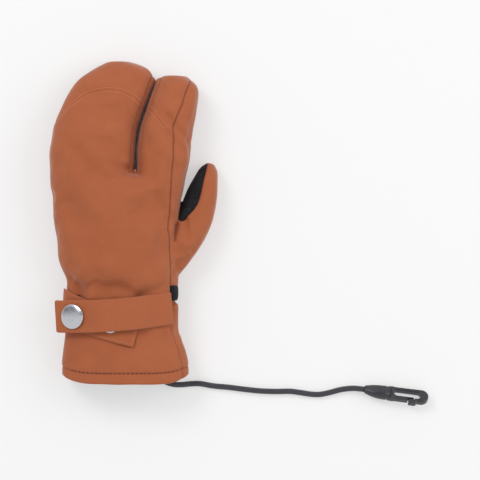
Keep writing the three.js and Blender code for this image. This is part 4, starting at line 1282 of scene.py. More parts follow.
def cuff_ring(y, inset, gathered):
    along = y / CUFF_LENGTH
    left, right, top = cuff_section(along)
    ring = section_ring((0, y, 0), ACROSS, left, right, top, inset, CUFF_HALF, CUFF_HALF)
    centre, half = (left + right) / 2, (right - left) / 2
    outward = (ring[:, 0] - centre) / half
    under = smoothstep(-ring[:, 2], -top * WIDEST_LEVEL, 0.0)
    gather = float(row_value(CUFF_ROWS, 2, along))
    wave = 0.5 - 0.5 * np.cos(math.pi * GATHER_COUNT * (outward + 1))
    pinch = 1.0 - np.abs(np.sin(math.pi * GATHER_COUNT / 2 * (outward + 1))) ** 0.7
    near_wrist = float(smoothstep(along, 0.7, 0.97))
    fold = wave * (1 - near_wrist) + (0.35 + pinch) * near_wrist
    ring[:, 2] += gather * GATHER_DEPTH * under * (fold if gathered else 1.2)
    ring[:, 1] += HEM_LIFT * np.abs(outward) ** 5 * (1 - min(1.0, along)) ** 2
    return ring


HEM_ROUND = CUFF_WALL / 2
# The cuff tucks into the hand: how far past the wrist, and how far in
TUCK = ((2.4, 2.6), (1.2, 2.3), (0.3, 1.9))
TUCK_DEPTH, TUCK_LENGTH = 1.5, 1.3
profile = [(CUFF_LENGTH + past, inset) for past, inset in TUCK]
steps = np.arange(CUFF_LENGTH - 0.3, HEM_ROUND, -0.45)
profile += [(y, TUCK_DEPTH * math.exp(-(((CUFF_LENGTH - y) / TUCK_LENGTH) ** 2))) for y in steps]
for a in np.linspace(0, math.pi, 9):
    profile.append((HEM_ROUND * (1 - math.sin(a)), HEM_ROUND * (1 - math.cos(a))))
outer_rows = len(profile) - 4
profile += [(y, CUFF_WALL) for y in np.arange(3.0, CUFF_LENGTH, 2.0)]
profile += [(CUFF_LENGTH + TUCK[0][0], CUFF_WALL + 0.6)]
rings = np.array([cuff_ring(y, inset, i < outer_rows + 1) for i, (y, inset) in enumerate(profile)])
rows, around = rings.shape[:2]
r, k = np.meshgrid(np.arange(rows), np.arange(around), indexing="ij")
a = (r * around + k).ravel()
b = (r * around + (k + 1) % around).ravel()
c = (((r + 1) % rows) * around + k).ravel()
d = (((r + 1) % rows) * around + (k + 1) % around).ravel()
cuff_points = rings.reshape(-1, 3)
cuff_faces = np.concatenate([np.stack([a, b, d], 1), np.stack([a, d, c], 1)])
hem_height = np.repeat(np.array([y for y, _ in profile]), around)
is_outer = np.repeat(np.arange(rows) <= outer_rows, around)

LEFT_SEAM = HEM_THICKNESS * 0.4
RIGHT_SEAM = HEM_THICKNESS * 0.74


def above_seam(p):
    slope = (RIGHT_SEAM - LEFT_SEAM) / HEM_WIDTH
    return p[:, 2] - (LEFT_SEAM + RIGHT_SEAM) / 2 - (p[:, 0] - HEM_SHIFT) * slope


# Folds of the cuff in plan: from, its depth, to, its depth, half width
CUFF_FOLDS = [
    ((39.0, 60.0), 1.5, (42.4, 38.0), 0.6, 1.5),
    ((42.4, 38.0), 0.6, (43.0, 22.0), 0.1, 2.0),
    ((38.4, 55.0), 1.0, (38.9, 43.0), 0.4, 1.2),
    ((33.0, 38.0), 0.9, (38.5, 22.0), 0.1, 1.8),
    ((-38.0, 36.0), 0.3, (-20.0, 22.0), 1.0, 4.5),
    ((2.0, 31.0), 0.9, (24.0, 16.0), 0.1, 5.5),
    ((-14.0, 22.0), -0.6, (10.0, 14.0), 0.0, 5.0),
]
CUFF_MIDDLE = (3.0, 30.0, 17.0)
cuff_normals = normals_of(cuff_points, cuff_faces)
if (cuff_normals[is_outer] * (cuff_points[is_outer] - CUFF_MIDDLE)).sum() < 0:
    cuff_faces = cuff_faces[:, ::-1]
    cuff_normals = -cuff_normals
# Depth and half width of the hem's stitched groove, the puckers beside it and the slow waves above it
GROOVE, PUCKERS, WAVES = (0.75, 0.8), (0.16, 3.0), (0.22, 4.5)
WAVES_ABOVE = 3.5
SIDE_SEAM_DIPS = ((0.6, 0.5), (0.4, 2.6))
walked = np.tile(lengths_along(rings[outer_rows // 2]), rows)
groove = np.abs(hem_height - HEM_FOLD)
pucker = 0.5 + 0.5 * np.cos(2 * math.pi * walked / STITCH_PITCH)
slow = np.sin(walked / 3.4 + 0.6 * np.sin(walked / 11.0))
depth = dips(groove, [GROOVE]) * (0.75 + 0.5 * pucker)
depth += dips(groove, [PUCKERS]) * pucker
depth += dips(hem_height - HEM_FOLD - WAVES_ABOVE, [WAVES]) * slow
# Broad unevenness and the folds, on the upper side only
depth += 0.25 * soft_noise(cuff_points, 22.0, 11) * smoothstep(cuff_points[:, 2], 6.0, 14.0)
depth += folds_in(cuff_points, CUFF_FOLDS) * smoothstep(cuff_points[:, 2], 9.0, 18.0)
seam_field = above_seam(cuff_points)
seam_near = bell(seam_field, SIDE_SEAM_DIPS[0][1]) * (hem_height < CUFF_LENGTH)
depth += SIDE_SEAM_DIPS[0][0] * seam_near + dips(seam_field, SIDE_SEAM_DIPS[1:])
cuff_points = cuff_points - cuff_normals * (depth * is_outer)[:, None]
cuff_points[:, 2] = np.maximum(cuff_points[:, 2], 0.0)
# Painted shade for the materials: along the side seam, with the seam's own dark line, in the hem's stitched
# groove, and at the wrist where the cuff tucks under the hand
shade = 0.45 * seam_near + 0.55 * bell(groove, 0.55) * is_outer
shade += 0.7 * bell(CUFF_LENGTH - hem_height, 1.0) * is_outer
values = np.stack([shade, is_outer.astype(float)], 1)


def cut_with(points, faces, field, values):
    """Cuts as cut does, and carries values along."""
    wide = np.concatenate([points, values], 1)
    labels = np.zeros(len(faces), int)
    wide, faces, labels = cut(wide, faces, field, labels, 0, 1)
    return wide[:, :3], faces, labels, wide[:, 3:]


cuff_points, cuff_faces, half, values = cut_with(cuff_points, cuff_faces, above_seam(cuff_points), values)
for name, label in (("cuff_back", 1), ("cuff_palm", 0)):
    p, f, v = tidy(cuff_points, cuff_faces[half == label], values)
    which = (v[:, 1][f].min(1) < 0.5).astype(int)
    # The seam attribute carries the cuff's painted shade
    shading = {"seam": v[:, 0]}
    made = piece(name + "_skin", p, f, "softshell", [name], ["softshell", "lining"], which, shading)

# Strap and tab
def band_profile(y):
    left, right, top = cuff_section(min(1.0, y / CUFF_LENGTH))
    centre = (left + right) / 2
    half_width = (right - left) / 2 + CLEARANCE
    widest = top * WIDEST_LEVEL
    angle = np.linspace(math.pi, 0.0, 400)
    across = np.cos(angle)
    rise = np.maximum(0.0, 1.0 - np.abs(across) ** CROWN_SQUARENESS) ** (1.0 / CROWN_SQUARENESS)
    points = np.stack([centre + half_width * across, widest + (top - widest + CLEARANCE) * rise], 1)
    return points, lengths_along(points)


WRIST_RUN = band_profile(CUFF_LENGTH)[1][-1]


def cuff_place(length, y, leaves):
    """A place on the cuff at a length from the outer side seam and at a Y, and the way it faces."""
    points, walked = band_profile(y)
    wanted = max(length, leaves) * walked[-1] / WRIST_RUN
    i = int(np.clip(np.searchsorted(walked, wanted) - 1, 0, len(walked) - 2))
    low = max(0, i - 6)
    high = min(len(walked) - 1, i + 7)
    ahead = points[high] - points[low]
    ahead /= np.linalg.norm(ahead)
    at = np.array([np.interp(wanted, walked, points[:, 0]), np.interp(wanted, walked, points[:, 1])])
    at = at + ahead * min(0.0, length - leaves)
    return at, ahead, np.array([-ahead[1], ahead[0]])


def bow_at(bow, share):
    return bow * 4 * share * (1 - share)


def band_point(band, run, out, height):
    c, s = math.cos(math.radians(band["slope"])), math.sin(math.radians(band["slope"]))
    along = band["start"] + run * c + out * s
    y = band["start_y"] - run * s + out * c - bow_at(band["bow"], run / band["length"])
    at, _, outward = cuff_place(along, y, band["leaves"])
    raised = at + outward * (height + band["lift"](along))
    return np.array([raised[0], y, raised[1]])


TAB = {
    "start": 0.0,
    "start_y": CUFF_LENGTH - TAB_BELOW_WRIST,
    "slope": TAB_SLOPE,
    "bow": TAB_BOW,
    "length": TAB_LENGTH,
    "width": STRAP_WIDTH,
    "thickness": TAB_THICKNESS,
    "lift": lambda along: BAND_LIFT,
    "leaves": 0.0,
}


def on_tab(run):
    angle = math.radians(TAB_SLOPE)
    return run * math.cos(angle), TAB["start_y"] - run * math.sin(angle) - bow_at(TAB_BOW, run / TAB_LENGTH)


closed, spare, tab_end = on_tab(SNAP_RUN), on_tab(SNAP_RUN + SNAP_SPACING), on_tab(TAB_LENGTH)
STACK = TAB_THICKNESS + STUD_PLATE + SOCKET_HEIGHT + 3 * CLEARANCE
SNAP_Y = CUFF_LENGTH - SNAP_BELOW_WRIST
free_length = STRAP_REACH + CAP_DIAMETER / 2
strap_length = WRIST_RUN * (1 - STRAP_END) - closed[0] + free_length
free_rise = free_length * math.sin(math.radians(STRAP_SLOPE))
STRAP = {
    "start": closed[0] - free_length,
    "start_y": SNAP_Y - free_rise + bow_at(STRAP_BOW, free_length / strap_length),
    "slope": -STRAP_SLOPE,
    "bow": STRAP_BOW,
    "length": strap_length,
    "width": STRAP_WIDTH,
    "thickness": STRAP_THICKNESS,
    "lift": lambda along: STACK * (1 - float(smoothstep(along - tab_end[0], -4, 14))) + BAND_LIFT,
    "leaves": closed[0],
}


BAND_CROWN = 0.25
BAND_UNEVEN = 0.12
DIMPLE_DEPTH = 0.45


def band_piece(name, band, corner, nodes, dimple=None):
    """A strap of folded cloth with rolled edges and rounded corners, dimpled where a snap holds it."""
    length, width, thick = band["length"], band["width"], band["thickness"]
    edge = thick / 2
    runs = [0.0, 0.08, 0.25, 0.5, 0.8, 1.2, 1.8, 2.6]
    runs = runs + list(np.arange(3.4, length - 3.0, 0.9)) + [length - r for r in runs[::-1]]
    angles = np.linspace(-math.pi / 2, math.pi / 2, 7)
    flat = np.linspace(-1.0, 1.0, 15)
    rings = []
    for run in runs:
        back = min(run, length - run)
        trim = corner - math.sqrt(max(0.0, corner**2 - (corner - min(back, corner)) ** 2))
        reach = width / 2 - trim - edge
        thin = math.sqrt(max(0.04, 1 - (1 - min(back, edge) / edge) ** 2))
        ring = []
        for a in angles:
            ring.append((reach + edge * math.cos(a), thick / 2 + thin * thick / 2 * math.sin(a)))
        for x in flat[::-1][1:-1]:
            crown = BAND_CROWN * (1 - x**2) * min(1.0, back / 3.0)
            ring.append((reach * x, thick / 2 + thin * thick / 2 + crown))
        for a in angles[::-1]:
            ring.append((-reach - edge * math.cos(a), thick / 2 + thin * thick / 2 * math.sin(a)))
        for x in flat[1:-1]:
            ring.append((reach * x, thick / 2 - thin * thick / 2))
        made = []
        for out, height in ring:
            if dimple is not None:
                away = math.hypot(run - dimple, out) / (CAP_DIAMETER / 2)
                height -= DIMPLE_DEPTH * math.exp(-((away / 1.15) ** 6)) * (height > thick / 2)
            made.append(band_point(band, run, out, height))
        rings.append(made)
    points, faces = loft(rings)
    points[:, 2] += soft_noise(points, 13.0, len(name)) * BAND_UNEVEN
    faces = facing_out(points, faces)
    plain = {"seam": np.zeros(len(points))}
    piece(name, points, faces, "softshell", nodes, attributes=plain)


band_piece("strap_band", STRAP, 1.8, ["strap"], free_length)
band_piece("tab_band", TAB, 0.8, ["strap_tab"])


# Snaps
SNAP_SPAN = 4.0


def snap_frame(length, y, lift, height):
    """The axes and the origin of a snap that lies on the cuff."""
    at, ahead, outward = cuff_place(length, y, 0.0)
    raised = at + outward * lift
    rise = cuff_place(length, y + SNAP_SPAN, 0.0)[0] - cuff_place(length, y - SNAP_SPAN, 0.0)[0]
    across_band = np.array([ahead[0], 0.0, ahead[1]])
    axis = np.cross(across_band, (rise[0], 2 * SNAP_SPAN, rise[1]))
    axis /= np.linalg.norm(axis)
    up = np.cross(axis, across_band)
    origin = np.array([raised[0], y, raised[1]]) + axis * height
    return np.stack([across_band, up, axis], 1), origin


def turned(outline, sides):
    """A turned piece whose axis is Z, from a list of radius and height."""
    outline = [(max(r, 1e-4), z) for r, z in outline]
    angle = np.linspace(0, 2 * math.pi, sides, endpoint=False)
    rings = [np.stack([r * np.cos(angle), r * np.sin(angle), np.full(sides, z)], 1) for r, z in outline]
    points, faces = loft(rings)
    return points, facing_out(points, faces)


def bend(start, control, end, steps=10):
    t = np.linspace(0, 1, steps)[:, None]
    start, control, end = (np.array(v, float) for v in (start, control, end))
    return [tuple(v) for v in (1 - t) ** 2 * start + 2 * t * (1 - t) * control + t * t * end]


def rounded(outline, radius, steps=5):
    """An outline with its inner corners rounded."""
    made = [outline[0]]
    for i in range(1, len(outline) - 1):
        before, at, after = (np.array(outline[i + n], float) for n in (-1, 0, 1))
        to_before, to_after = before - at, after - at
        reach = min(radius, np.linalg.norm(to_before) * 0.45, np.linalg.norm(to_after) * 0.45)
        start = at + to_before / max(1e-9, np.linalg.norm(to_before)) * reach
        end = at + to_after / max(1e-9, np.linalg.norm(to_after)) * reach
        made += bend(start, at, end, steps)
    made.append(outline[-1])
    return made


def placed(points, stance):
    axes, origin = stance
    return points @ axes.T + origin


radius = CAP_DIAMETER / 2
dome = []
for a in np.linspace(0.12, math.pi / 2, 26):
    dome.append((radius * math.cos(a), CLEARANCE + CAP_RIM + (CAP_HEIGHT - CAP_RIM) * math.sin(a) ** 1.1))
cap_outline = rounded(
    [
        (0, -STRAP_THICKNESS - CLEARANCE),
        (STUD_BALL / 2, -STRAP_THICKNESS - CLEARANCE),
        (STUD_BALL / 2, CLEARANCE * 0.5),
        (radius - 0.7, CLEARANCE * 0.5),
        (radius, CLEARANCE + 0.5),
        dome[0],
    ],
    0.3,
) + dome[1:]
cap_frame = snap_frame(closed[0], SNAP_Y, STACK + BAND_LIFT, STRAP_THICKNESS)
p, f = turned(cap_outline, 96)
piece("snap_cap_turned", placed(p, cap_frame), f, "snap_metal", ["snap_cap"])
radius = STUD_DIAMETER / 2
stud_outline = rounded(
    [
        (0, 0),
        (radius, 0),
        (radius, STUD_PLATE * 0.7),
        (radius * 0.88, STUD_PLATE),
        (STUD_BALL * 0.62, STUD_PLATE * 0.8),
        (STUD_BALL * 0.4, STUD_PLATE),
        (STUD_BALL / 2, STUD_PLATE + STUD_HEIGHT * 0.6),
        (STUD_BALL * 0.38, STUD_PLATE + STUD_HEIGHT),
        (STUD_BALL * 0.2, STUD_PLATE + STUD_HEIGHT * 0.85),
        (0, STUD_PLATE + STUD_HEIGHT * 0.8),
    ],
    0.25,
)
spare_frame = snap_frame(spare[0], spare[1], 0.0, TAB_THICKNESS + 1.3 * CLEARANCE)
p, f = turned(stud_outline, 72)
piece("spare_stud_turned", placed(p, spare_frame), f, "snap_metal", ["snap_stud_spare"])
for name in ("snap_socket", "snap_stud"):
    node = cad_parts[name]
    node.data.materials.clear()
    node.data.materials.append(MATERIALS["snap_metal"])


# Cord
def spline(points, step):
    """A Catmull-Rom curve with centripetal knots, in even steps."""
    p = np.asarray(points, float)
    p = np.concatenate([[2 * p[0] - p[1]], p, [2 * p[-1] - p[-2]]])
    fine = []
    for i in range(1, len(p) - 2):
        knots = [0.0]
        for j in range(3):
            knots.append(knots[-1] + math.sqrt(np.linalg.norm(p[i + j] - p[i + j - 1])))
        t0, t1, t2, t3 = knots
        t = np.linspace(t1, t2, 40, endpoint=False)[:, None]
        a1 = (t1 - t) / (t1 - t0) * p[i - 1] + (t - t0) / (t1 - t0) * p[i]
        a2 = (t2 - t) / (t2 - t1) * p[i] + (t - t1) / (t2 - t1) * p[i + 1]
        a3 = (t3 - t) / (t3 - t2) * p[i + 1] + (t - t2) / (t3 - t2) * p[i + 2]
        b1 = (t2 - t) / (t2 - t0) * a1 + (t - t0) / (t2 - t0) * a2
        b2 = (t3 - t) / (t3 - t1) * a2 + (t - t1) / (t3 - t1) * a3
        fine.append((t2 - t) / (t2 - t1) * b1 + (t - t1) / (t2 - t1) * b2)
    fine = np.concatenate(fine + [p[-2:-1]])
    walked = lengths_along(fine)
    wanted = np.linspace(0, walked[-1], max(2, int(walked[-1] / step)) + 1)
    return at_lengths(wanted, walked, fine), walked[-1]


def frames_along(path):
    """Two directions across a path at each of its points, without twist."""
    ahead = directions(path)
    side = np.cross(ahead[0], (0.0, 0.0, 1.0))
    side /= np.linalg.norm(side)
    sides = []
    for direction in ahead:
        side = side - direction * side.dot(direction)
        side /= np.linalg.norm(side)
        sides.append(side)
    sides = np.array(sides)
    return ahead, sides, np.cross(ahead, sides)


def rings_round(line, radii, angle, sides, ups):
    """Rings round a line in the plane of two directions, with a radius at each point and angle."""
    across = (radii * np.cos(angle))[:, :, None] * sides[:, None, :]
    return line[:, None, :] + across + (radii * np.sin(angle))[:, :, None] * ups[:, None, :]


def tube(path, radius, around, relief):
    """A closed tube along a path. Relief adds to the radius by the angle and the distance."""
    _, sides, ups = frames_along(path)
    angle = np.linspace(0, 2 * math.pi, around, endpoint=False)
    walked = lengths_along(path)
    extra = relief(angle[None, :], walked[:, None])
    points, faces = loft(rings_round(path, radius + extra, angle, sides, ups))
    return points, faces, np.concatenate([extra.ravel(), [0.0, 0.0]])


def braid_relief(angle, walked):
    turn = 2 * math.pi * walked / BRAID_PITCH
    one = np.abs(np.sin(3.0 * angle + turn * 1.5))
    other = np.abs(np.sin(3.0 * angle - turn * 1.5))
    over = 0.5 + 0.5 * np.sin(6.0 * angle) * np.sin(turn * 3.0)
    return BRAID_DEPTH * (np.maximum(one * (0.75 + 0.25 * over), other * (1.0 - 0.25 * over)) - 1.0)


route, cord_length = spline(CORD_ROUTE, 0.3)
p, f, relief = tube(route, CORD_DIAMETER / 2 + CORD_SWELL, 30, braid_relief)
# Painted shade in the braid's grooves, from the depth of its relief
shading = {"braid_groove_shade": 1.0 + relief / BRAID_SHADE}
cord = piece("cord_braided", p, f, "cord_braid", ["cord"], attributes=shading)
first, second = route[0], route[3]
ahead = (second - first) / np.linalg.norm(second - first)


def superellipse(width, depth, power, sides=40):
    angle = np.linspace(0, 2 * math.pi, sides, endpoint=False)
    c, s = np.cos(angle), np.sin(angle)
    return np.stack(
        [np.sign(c) * np.abs(c) ** power * width / 2, np.sign(s) * np.abs(s) ** power * depth / 2], 1
    )


def lofted_bar(stations, power, sides=40):
    """A bar along X through stations of x, width, depth and a shift across it."""
    rings = []
    for x, width, depth, shift in stations:
        section = superellipse(width, depth, power, sides)
        rings.append(np.stack([np.full(sides, x), section[:, 0] + shift, section[:, 1]], 1))
    points, faces = loft(rings)
    return points, facing_out(points, faces)


length, width, depth = ANCHOR_SIZE
ends = [(0.0, 0.55), (0.25, 0.8), (0.8, 0.97), (1.5, 1.0)]
stations = [(x, width * k, depth * k * 0.95, 0.0) for x, k in ends]
for x in np.linspace(2.4, length - 2.0, 8):
    ridge = 0.9 + 0.1 * math.cos(x * 2.2)
    stations.append((x, width, depth * 0.95 * ridge, 0.0))
stations += [(length - x, width * k, depth * k * 0.95, 0.0) for x, k in ends[::-1]]
p, f = lofted_bar(stations, 0.45)
p = p - (length + SEAM_GAP, 0.0, 0.0)
turn = np.array(Matrix.Rotation(math.atan2(ahead[1], ahead[0]), 3, "Z"))
piece("cord_tab", p @ turn.T + route[0], f, "palm_suede", ["cord_anchor"])


# Sleeve and hook, shaped along X and laid at the end of the cord
def sleeve_width(x):
    return float(
        curve_through(
            [0.0, 1.0, SLEEVE_LENGTH * 0.6, SLEEVE_LENGTH],
            [SLEEVE_CORD_END * 0.86, SLEEVE_CORD_END, SLEEVE_HOOK_END * 0.96, SLEEVE_HOOK_END],
            x,
        )
    )


# The sleeve's notch, flange and groove: change of its width as a share, place, half width
SLEEVE_RELIEF = (
    (-0.1, SLEEVE_LENGTH - 2.6, 0.5),
    (0.05, SLEEVE_LENGTH - 1.1, 0.7),
    (-0.04, 2.4, 0.3),
)
stations = []
at_cord = np.linspace(-SLEEVE_START, 1.2, 8)
between_ends = np.linspace(1.6, SLEEVE_LENGTH - 1.4, 40)
at_hook = np.linspace(SLEEVE_LENGTH - 1.2, SLEEVE_LENGTH, 8)
for x in np.concatenate([at_cord, between_ends, at_hook]):
    width = sleeve_width(x)
    end = max(0.0, min(x + SLEEVE_START, SLEEVE_LENGTH - x))
    k = 1 - 0.12 * (1 - min(1.0, end / 0.8)) ** 2
    k += sum(share * float(bell(x - place, reach)) for share, place, reach in SLEEVE_RELIEF)
    drop = (width - SLEEVE_CORD_END) * SLEEVE_DROP
    stations.append((x, width * k, width * SLEEVE_DEPTH * k, -drop))
sleeve_points, sleeve_faces = lofted_bar(stations, 0.72, 56)


def arc(cx, cy, r, start, end, steps=24):
    angle = np.linspace(start, end, steps)
    return [(cx + r * math.cos(a), cy + r * math.sin(a)) for a in angle]


def hook_outline():
    half = HOOK_WIDTH / 2
    gate_low = -half + GATE_INSET
    gate_top = gate_low + GATE_THICKNESS
    tongue_low = gate_top - GATE_TONGUE
    tongue_end = NOSE_START + NOSE_LENGTH * 0.8
    bar_low = half - HOOK_BAR
    hollow = HOOK_LENGTH - HOOK_END - bar_low
    root = 2.8
    outline = [(0, half - 0.3), (0, -half + 0.3)]
    outline += bend((0, -half + 0.3), (3, -half + 0.2), (GATE_ROOT, gate_low))
    outline += [(NOSE_START - NOSE_GAP, gate_low), (NOSE_START - NOSE_GAP, tongue_low)]
    outline += [(tongue_end, tongue_low), (tongue_end, gate_top), (GATE_ROOT, gate_top)]
    outline += bend((GATE_ROOT, gate_top), (root + 0.4, gate_top - 0.2), (root, 0))
    outline += bend((root, 0), (root, bar_low), (root + 2, bar_low))
    outline += arc(hollow, 0, bar_low, math.pi / 2, -math.pi / 2)
    outline += [(tongue_end + NOSE_GAP, -bar_low), (tongue_end + NOSE_GAP, tongue_low - NOSE_GAP)]
    outline += [(NOSE_START, tongue_low - NOSE_GAP), (NOSE_START, -half - NOSE_PROUD)]
    outline += [(NOSE_START + NOSE_LENGTH, -half - NOSE_PROUD)]
    outline += [(NOSE_START + NOSE_LENGTH + 1.5, -half)]
    outline += arc(HOOK_LENGTH - half, 0, half, -math.pi / 2, math.pi / 2, 40)
    cleaned = [outline[0]]
    for q in outline[1:]:
        if math.hypot(q[0] - cleaned[-1][0], q[1] - cleaned[-1][1]) > 0.02:
            cleaned.append(q)
    return np.array(cleaned)


def plate(outline, half_depth):
    """A flat plate over an outline, as a closed body."""
    count = len(outline)
    flat = [Vector((x, y, 0.0)) for x, y in outline]
    lids = np.array(tessellate_polygon([flat]))
    low = np.concatenate([outline, np.full((count, 1), -half_depth)], 1)
    high = np.concatenate([outline, np.full((count, 1), half_depth)], 1)
    k = np.arange(count)
    after = (k + 1) % count
    walls = [np.stack([k, after, after + count], 1), np.stack([k, after + count, k + count], 1)]
    return np.concatenate([low, high]), np.concatenate([lids[:, ::-1], lids + count] + walls)


outline = hook_outline()
hook_points, hook_faces = remeshed([plate(outline, HOOK_DEPTH / 2)], 0.2)
hook_points = smoothed(hook_points, hook_faces, 3)
depth_in = np.maximum(0.0, inside(hook_points, outline))
rise = np.sqrt(1 - (1 - np.minimum(depth_in / HOOK_FILLET, 1.0)) ** 2)
hook_points[:, 2] *= (HOOK_DEPTH / 2 - HOOK_FILLET + HOOK_FILLET * rise) / (HOOK_DEPTH / 2)
hook_points = smoothed(hook_points, hook_faces, 2)
barrel = bell(hook_points[:, 0], 2.6)
hook_points[:, 2] *= 1 + 0.3 * barrel
drop = (SLEEVE_HOOK_END - SLEEVE_CORD_END) * SLEEVE_DROP
hook_points = hook_points + (SLEEVE_LENGTH + SEAM_GAP - 0.5, -drop, 0.0)
heading = math.radians(HOOK_HEADING)
roll = math.radians(-HOOK_ROLL)
stance = np.array(Matrix.Rotation(heading, 3, "Z") @ Matrix.Rotation(roll, 3, "X"))
sleeve_points = sleeve_points @ stance.T
hook_points = hook_points @ stance.T
offset = np.array(CORD_ROUTE[-1], float) + np.array([math.cos(heading), math.sin(heading), 0]) * SEAM_GAP
offset[2] = 0.02 - min(sleeve_points[:, 2].min(), hook_points[:, 2].min())
clip_pieces = [
    piece(name, points + offset, faces, "clip_plastic", [node])
    for name, points, faces, node in (
        ("sleeve_moulded", sleeve_points, sleeve_faces, "hook_sleeve"),
        ("hook_moulded", hook_points, hook_faces, "hook"),
    )
]


# Stitching
ABOVE_ALL = 80.0


def dropped(tree, plan_points):
    """Points and normals on a surface below points in plan."""
    found = []
    for x, y in plan_points:
        hit, normal, _, _ = tree.ray_cast(Vector((x, y, ABOVE_ALL)), Vector((0, 0, -1)))
        if hit is not None:
            found.append((np.array(hit), np.array(normal) * (1 if normal.z > 0 else -1)))
    return found


def walk(points, step):
    """A plan polyline in even steps, rounded a little."""
    p = np.array([(x, y, 0.0) for x, y in points])
    return spline(p, step)[0][:, :2]


def offset_line(line, distance):
    """A plan line moved to its left by a distance, which may vary along it."""
    ahead = directions(line)
    return line + np.stack([-ahead[:, 1], ahead[:, 0]], 1) * np.broadcast_to(distance, len(line))[:, None]


STITCH_TAPER = (0.45, 0.8, 1.0, 1.0, 1.0, 0.8, 0.45)
UP = np.array([0.0, 0.0, 1.0])


def stitches(name, rows, material, pitch, long, thick, sink=0.3):
    """Short thread stitches along rows of points with normals, in one piece."""
    bodies = []
    around = np.linspace(0, 2 * math.pi, 8, endpoint=False)
    for row in rows:
        if len(row) < 3:
            continue
        places = np.array([r[0] for r in row])
        normals = np.array([r[1] for r in row])
        walked = lengths_along(places)
        for start in np.arange(pitch * 0.3, walked[-1] - long, pitch):
            start += RNG.uniform(-0.06, 0.06) * pitch
            span = start + long * np.linspace(0, 1, len(STITCH_TAPER))
            line = at_lengths(span, walked, places)
            up = at_lengths(span, walked, normals)
            up /= np.linalg.norm(up, axis=1)[:, None]
            arch = np.sin(np.linspace(0.0, math.pi, len(STITCH_TAPER))) ** 0.6
            line = line + up * (thick * (arch - sink))[:, None]
            side = np.cross(directions(line), up)
            side /= np.linalg.norm(side, axis=1)[:, None]
            radii = thick * np.array(STITCH_TAPER)
            bodies.append(loft(rings_round(line, radii[:, None], around, side, up)))
    piece(name, *joined(bodies), "softshell", materials=[material])


skin_tree = surface_of(skin_points, skin_faces)
arc_line = walk([(x, y) for x, y in plan(TIP_SEAM)], 0.5)
spread = 1.5 - 0.9 * smoothstep(-arc_line[:, 0], 25.0, 48.0) - 0.3 * smoothstep(arc_line[:, 0], 20.0, 32.0)
# The arc's two rows end short of the side seams and of the slit's strip
ARC_FROM, ARC_TO, ARC_OFF_SLIT = -47.5, 34.0, 3.6
kept = (arc_line[:, 0] > ARC_FROM) & (arc_line[:, 0] < ARC_TO)
kept &= np.abs(arc_line[:, 0] - slit_x(arc_line[:, 1])) > ARC_OFF_SLIT
on_pocket = arc_line[:, 0] < slit_x(arc_line[:, 1])
rows = []
for side in (1, -1):
    line = offset_line(arc_line, spread * side)
    rows += [dropped(skin_tree, line[part]) for part in (kept & on_pocket, kept & ~on_pocket)]
stitches("tip_stitching", rows, "thread", pitch=1.9, long=1.25, thick=0.26)

cuff_tree = surface_of(cuff_points, cuff_faces)
hem_line = cuff_ring(HEM_FOLD, 0.0, True)
HEM_ROW_ABOVE, HEM_ROW_FROM, HEM_ROW_TO = 14.0, -38.0, 44.0
across, _, high = hem_line.T
line = hem_line[(high > HEM_ROW_ABOVE) & (across > HEM_ROW_FROM) & (across < HEM_ROW_TO)]
line = line[np.argsort(line[:, 0])][::4, :2]
rows = [dropped(cuff_tree, line)]
stitches("hem_stitching", rows, "thread_dark", pitch=STITCH_PITCH, long=1.95, thick=0.3, sink=0.2)

# The tab's rows lie this far in from its edges
TAB_MARGIN = 1.9
side_out = STRAP_WIDTH / 2 - TAB_MARGIN
side_places = [(run, -side_out) for run in np.arange(20.0, TAB_LENGTH - 2.0, 0.8)]
end_places = [(TAB_LENGTH - TAB_MARGIN, out) for out in np.arange(-side_out, side_out, 0.8)]
rows = []
for places in (side_places, end_places):
    rows.append([(band_point(TAB, run, out, TAB_THICKNESS + 0.1), UP) for run, out in places])
stitches("tab_stitching", rows, "thread", pitch=1.9, long=1.35, thick=0.16)

tack_rows = []
for step in np.linspace(-1.0, 1.0, 6):
    y = SLIT_BOTTOM + 1.2 + 1.25 * step
    reach = 1.6 * math.sqrt(1.1 - step * step)
    beside = dropped(skin_tree, [(slit_x(y) - 2.6, y), (slit_x(y) + 2.6, y)])
    top = min(hit[2] for hit, _ in beside) + 0.05
    tack_rows.append([(np.array([slit_x(y) + x, y, top]), UP) for x in (-reach, 0.0, reach)])
stitches("slit_bar_tack", tack_rows, "thread", pitch=2.0, long=1.4, thick=0.3, sink=0.0)
grip_row = dropped(skin_tree, [(x, 130.4 + 0.1 * (x - 46.0)) for x in np.arange(46.2, 53.0, 0.4)])
stitches("grip_stitching", [grip_row], "thread_black", pitch=1.8, long=1.2, thick=0.2)

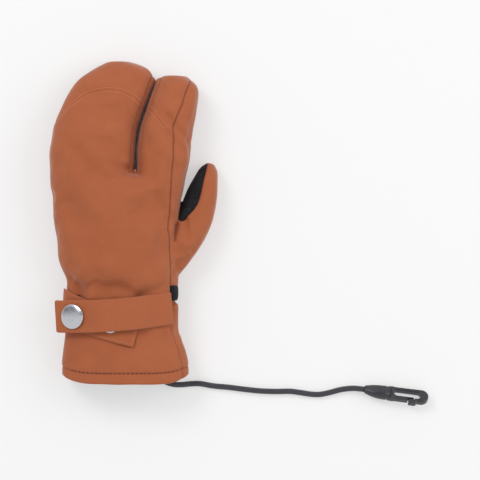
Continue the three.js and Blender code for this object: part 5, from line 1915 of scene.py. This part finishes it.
# Floor and light
FLOOR_REACH = 6.0
FLOOR_DROP = 0.0002
floor_mesh = bpy.data.meshes.new("floor")
corners = [(x * FLOOR_REACH, y * FLOOR_REACH, -FLOOR_DROP) for x, y in ((-1, -1), (1, -1), (1, 1), (-1, 1))]
floor_mesh.from_pydata(corners, [], [(0, 1, 2, 3)])
floor = linked("floor", floor_mesh)
floor_shader = Shader("floor")
floor_mesh.materials.append(
    floor_shader.finish(
        Base_Color=(0.45, 0.45, 0.45, 1.0),
        Roughness=0.9,
        Specular_IOR_Level=0.2,
        Emission_Color=(1.0, 1.0, 1.0, 1.0),
        Emission_Strength=0.45,
    )
)


LIGHT_AIM = Vector((0.03, 0.0, 0.0))


def area_light(name, place, size, power):
    data = bpy.data.lights.new(name, "AREA")
    data.shape = "DISK"
    data.size = size
    data.energy = power
    lamp = linked(name, data)
    lamp.location = place
    lamp.rotation_euler = (LIGHT_AIM - Vector(place)).to_track_quat("-Z", "Y").to_euler()


area_light("key", place=(-1.0, 1.1, 1.7), size=1.0, power=16.0)
area_light("fill", place=(1.3, 0.3, 1.1), size=1.4, power=8.0)
world = bpy.data.worlds.new("world")
scene.world = world
world.use_nodes = True
plain = world.node_tree.nodes["Background"]
plain.inputs["Color"].default_value = (1.0, 1.0, 1.0, 1.0)
plain.inputs["Strength"].default_value = 0.72

# What the metal mirrors: a dim patch on the far side of a bright room
sky = Nodes(world.node_tree)
where = sky.node("ShaderNodeTexCoord").outputs["Generated"]
ramp = sky.node("ShaderNodeValToRGB", Fac=sky.node("ShaderNodeSeparateXYZ", Vector=where).outputs["Y"])
stops = ramp.color_ramp.elements
stops[0].position = 0.02
stops[0].color = (1.0, 1.0, 1.0, 1.0)
stops[1].position = 0.6
stops[1].color = (0.95, 0.95, 0.97, 1.0)
for place, level in ((0.1, 0.5), (0.2, 0.2), (0.38, 0.25), (0.48, 0.6)):
    stops.new(place).color = (level, level, level * 1.04, 1.0)
mirrored = sky.node("ShaderNodeBackground", Strength=0.9, Color=ramp.outputs["Color"])
glossy = sky.node("ShaderNodeLightPath").outputs["Is Glossy Ray"]
choice = sky.node("ShaderNodeMixShader")
seen = sky.set_all(choice, glossy, plain.outputs[0], mirrored.outputs[0])
sky.set(world.node_tree.nodes["World Output"].inputs["Surface"], seen)
scene.view_settings.view_transform = "Standard"
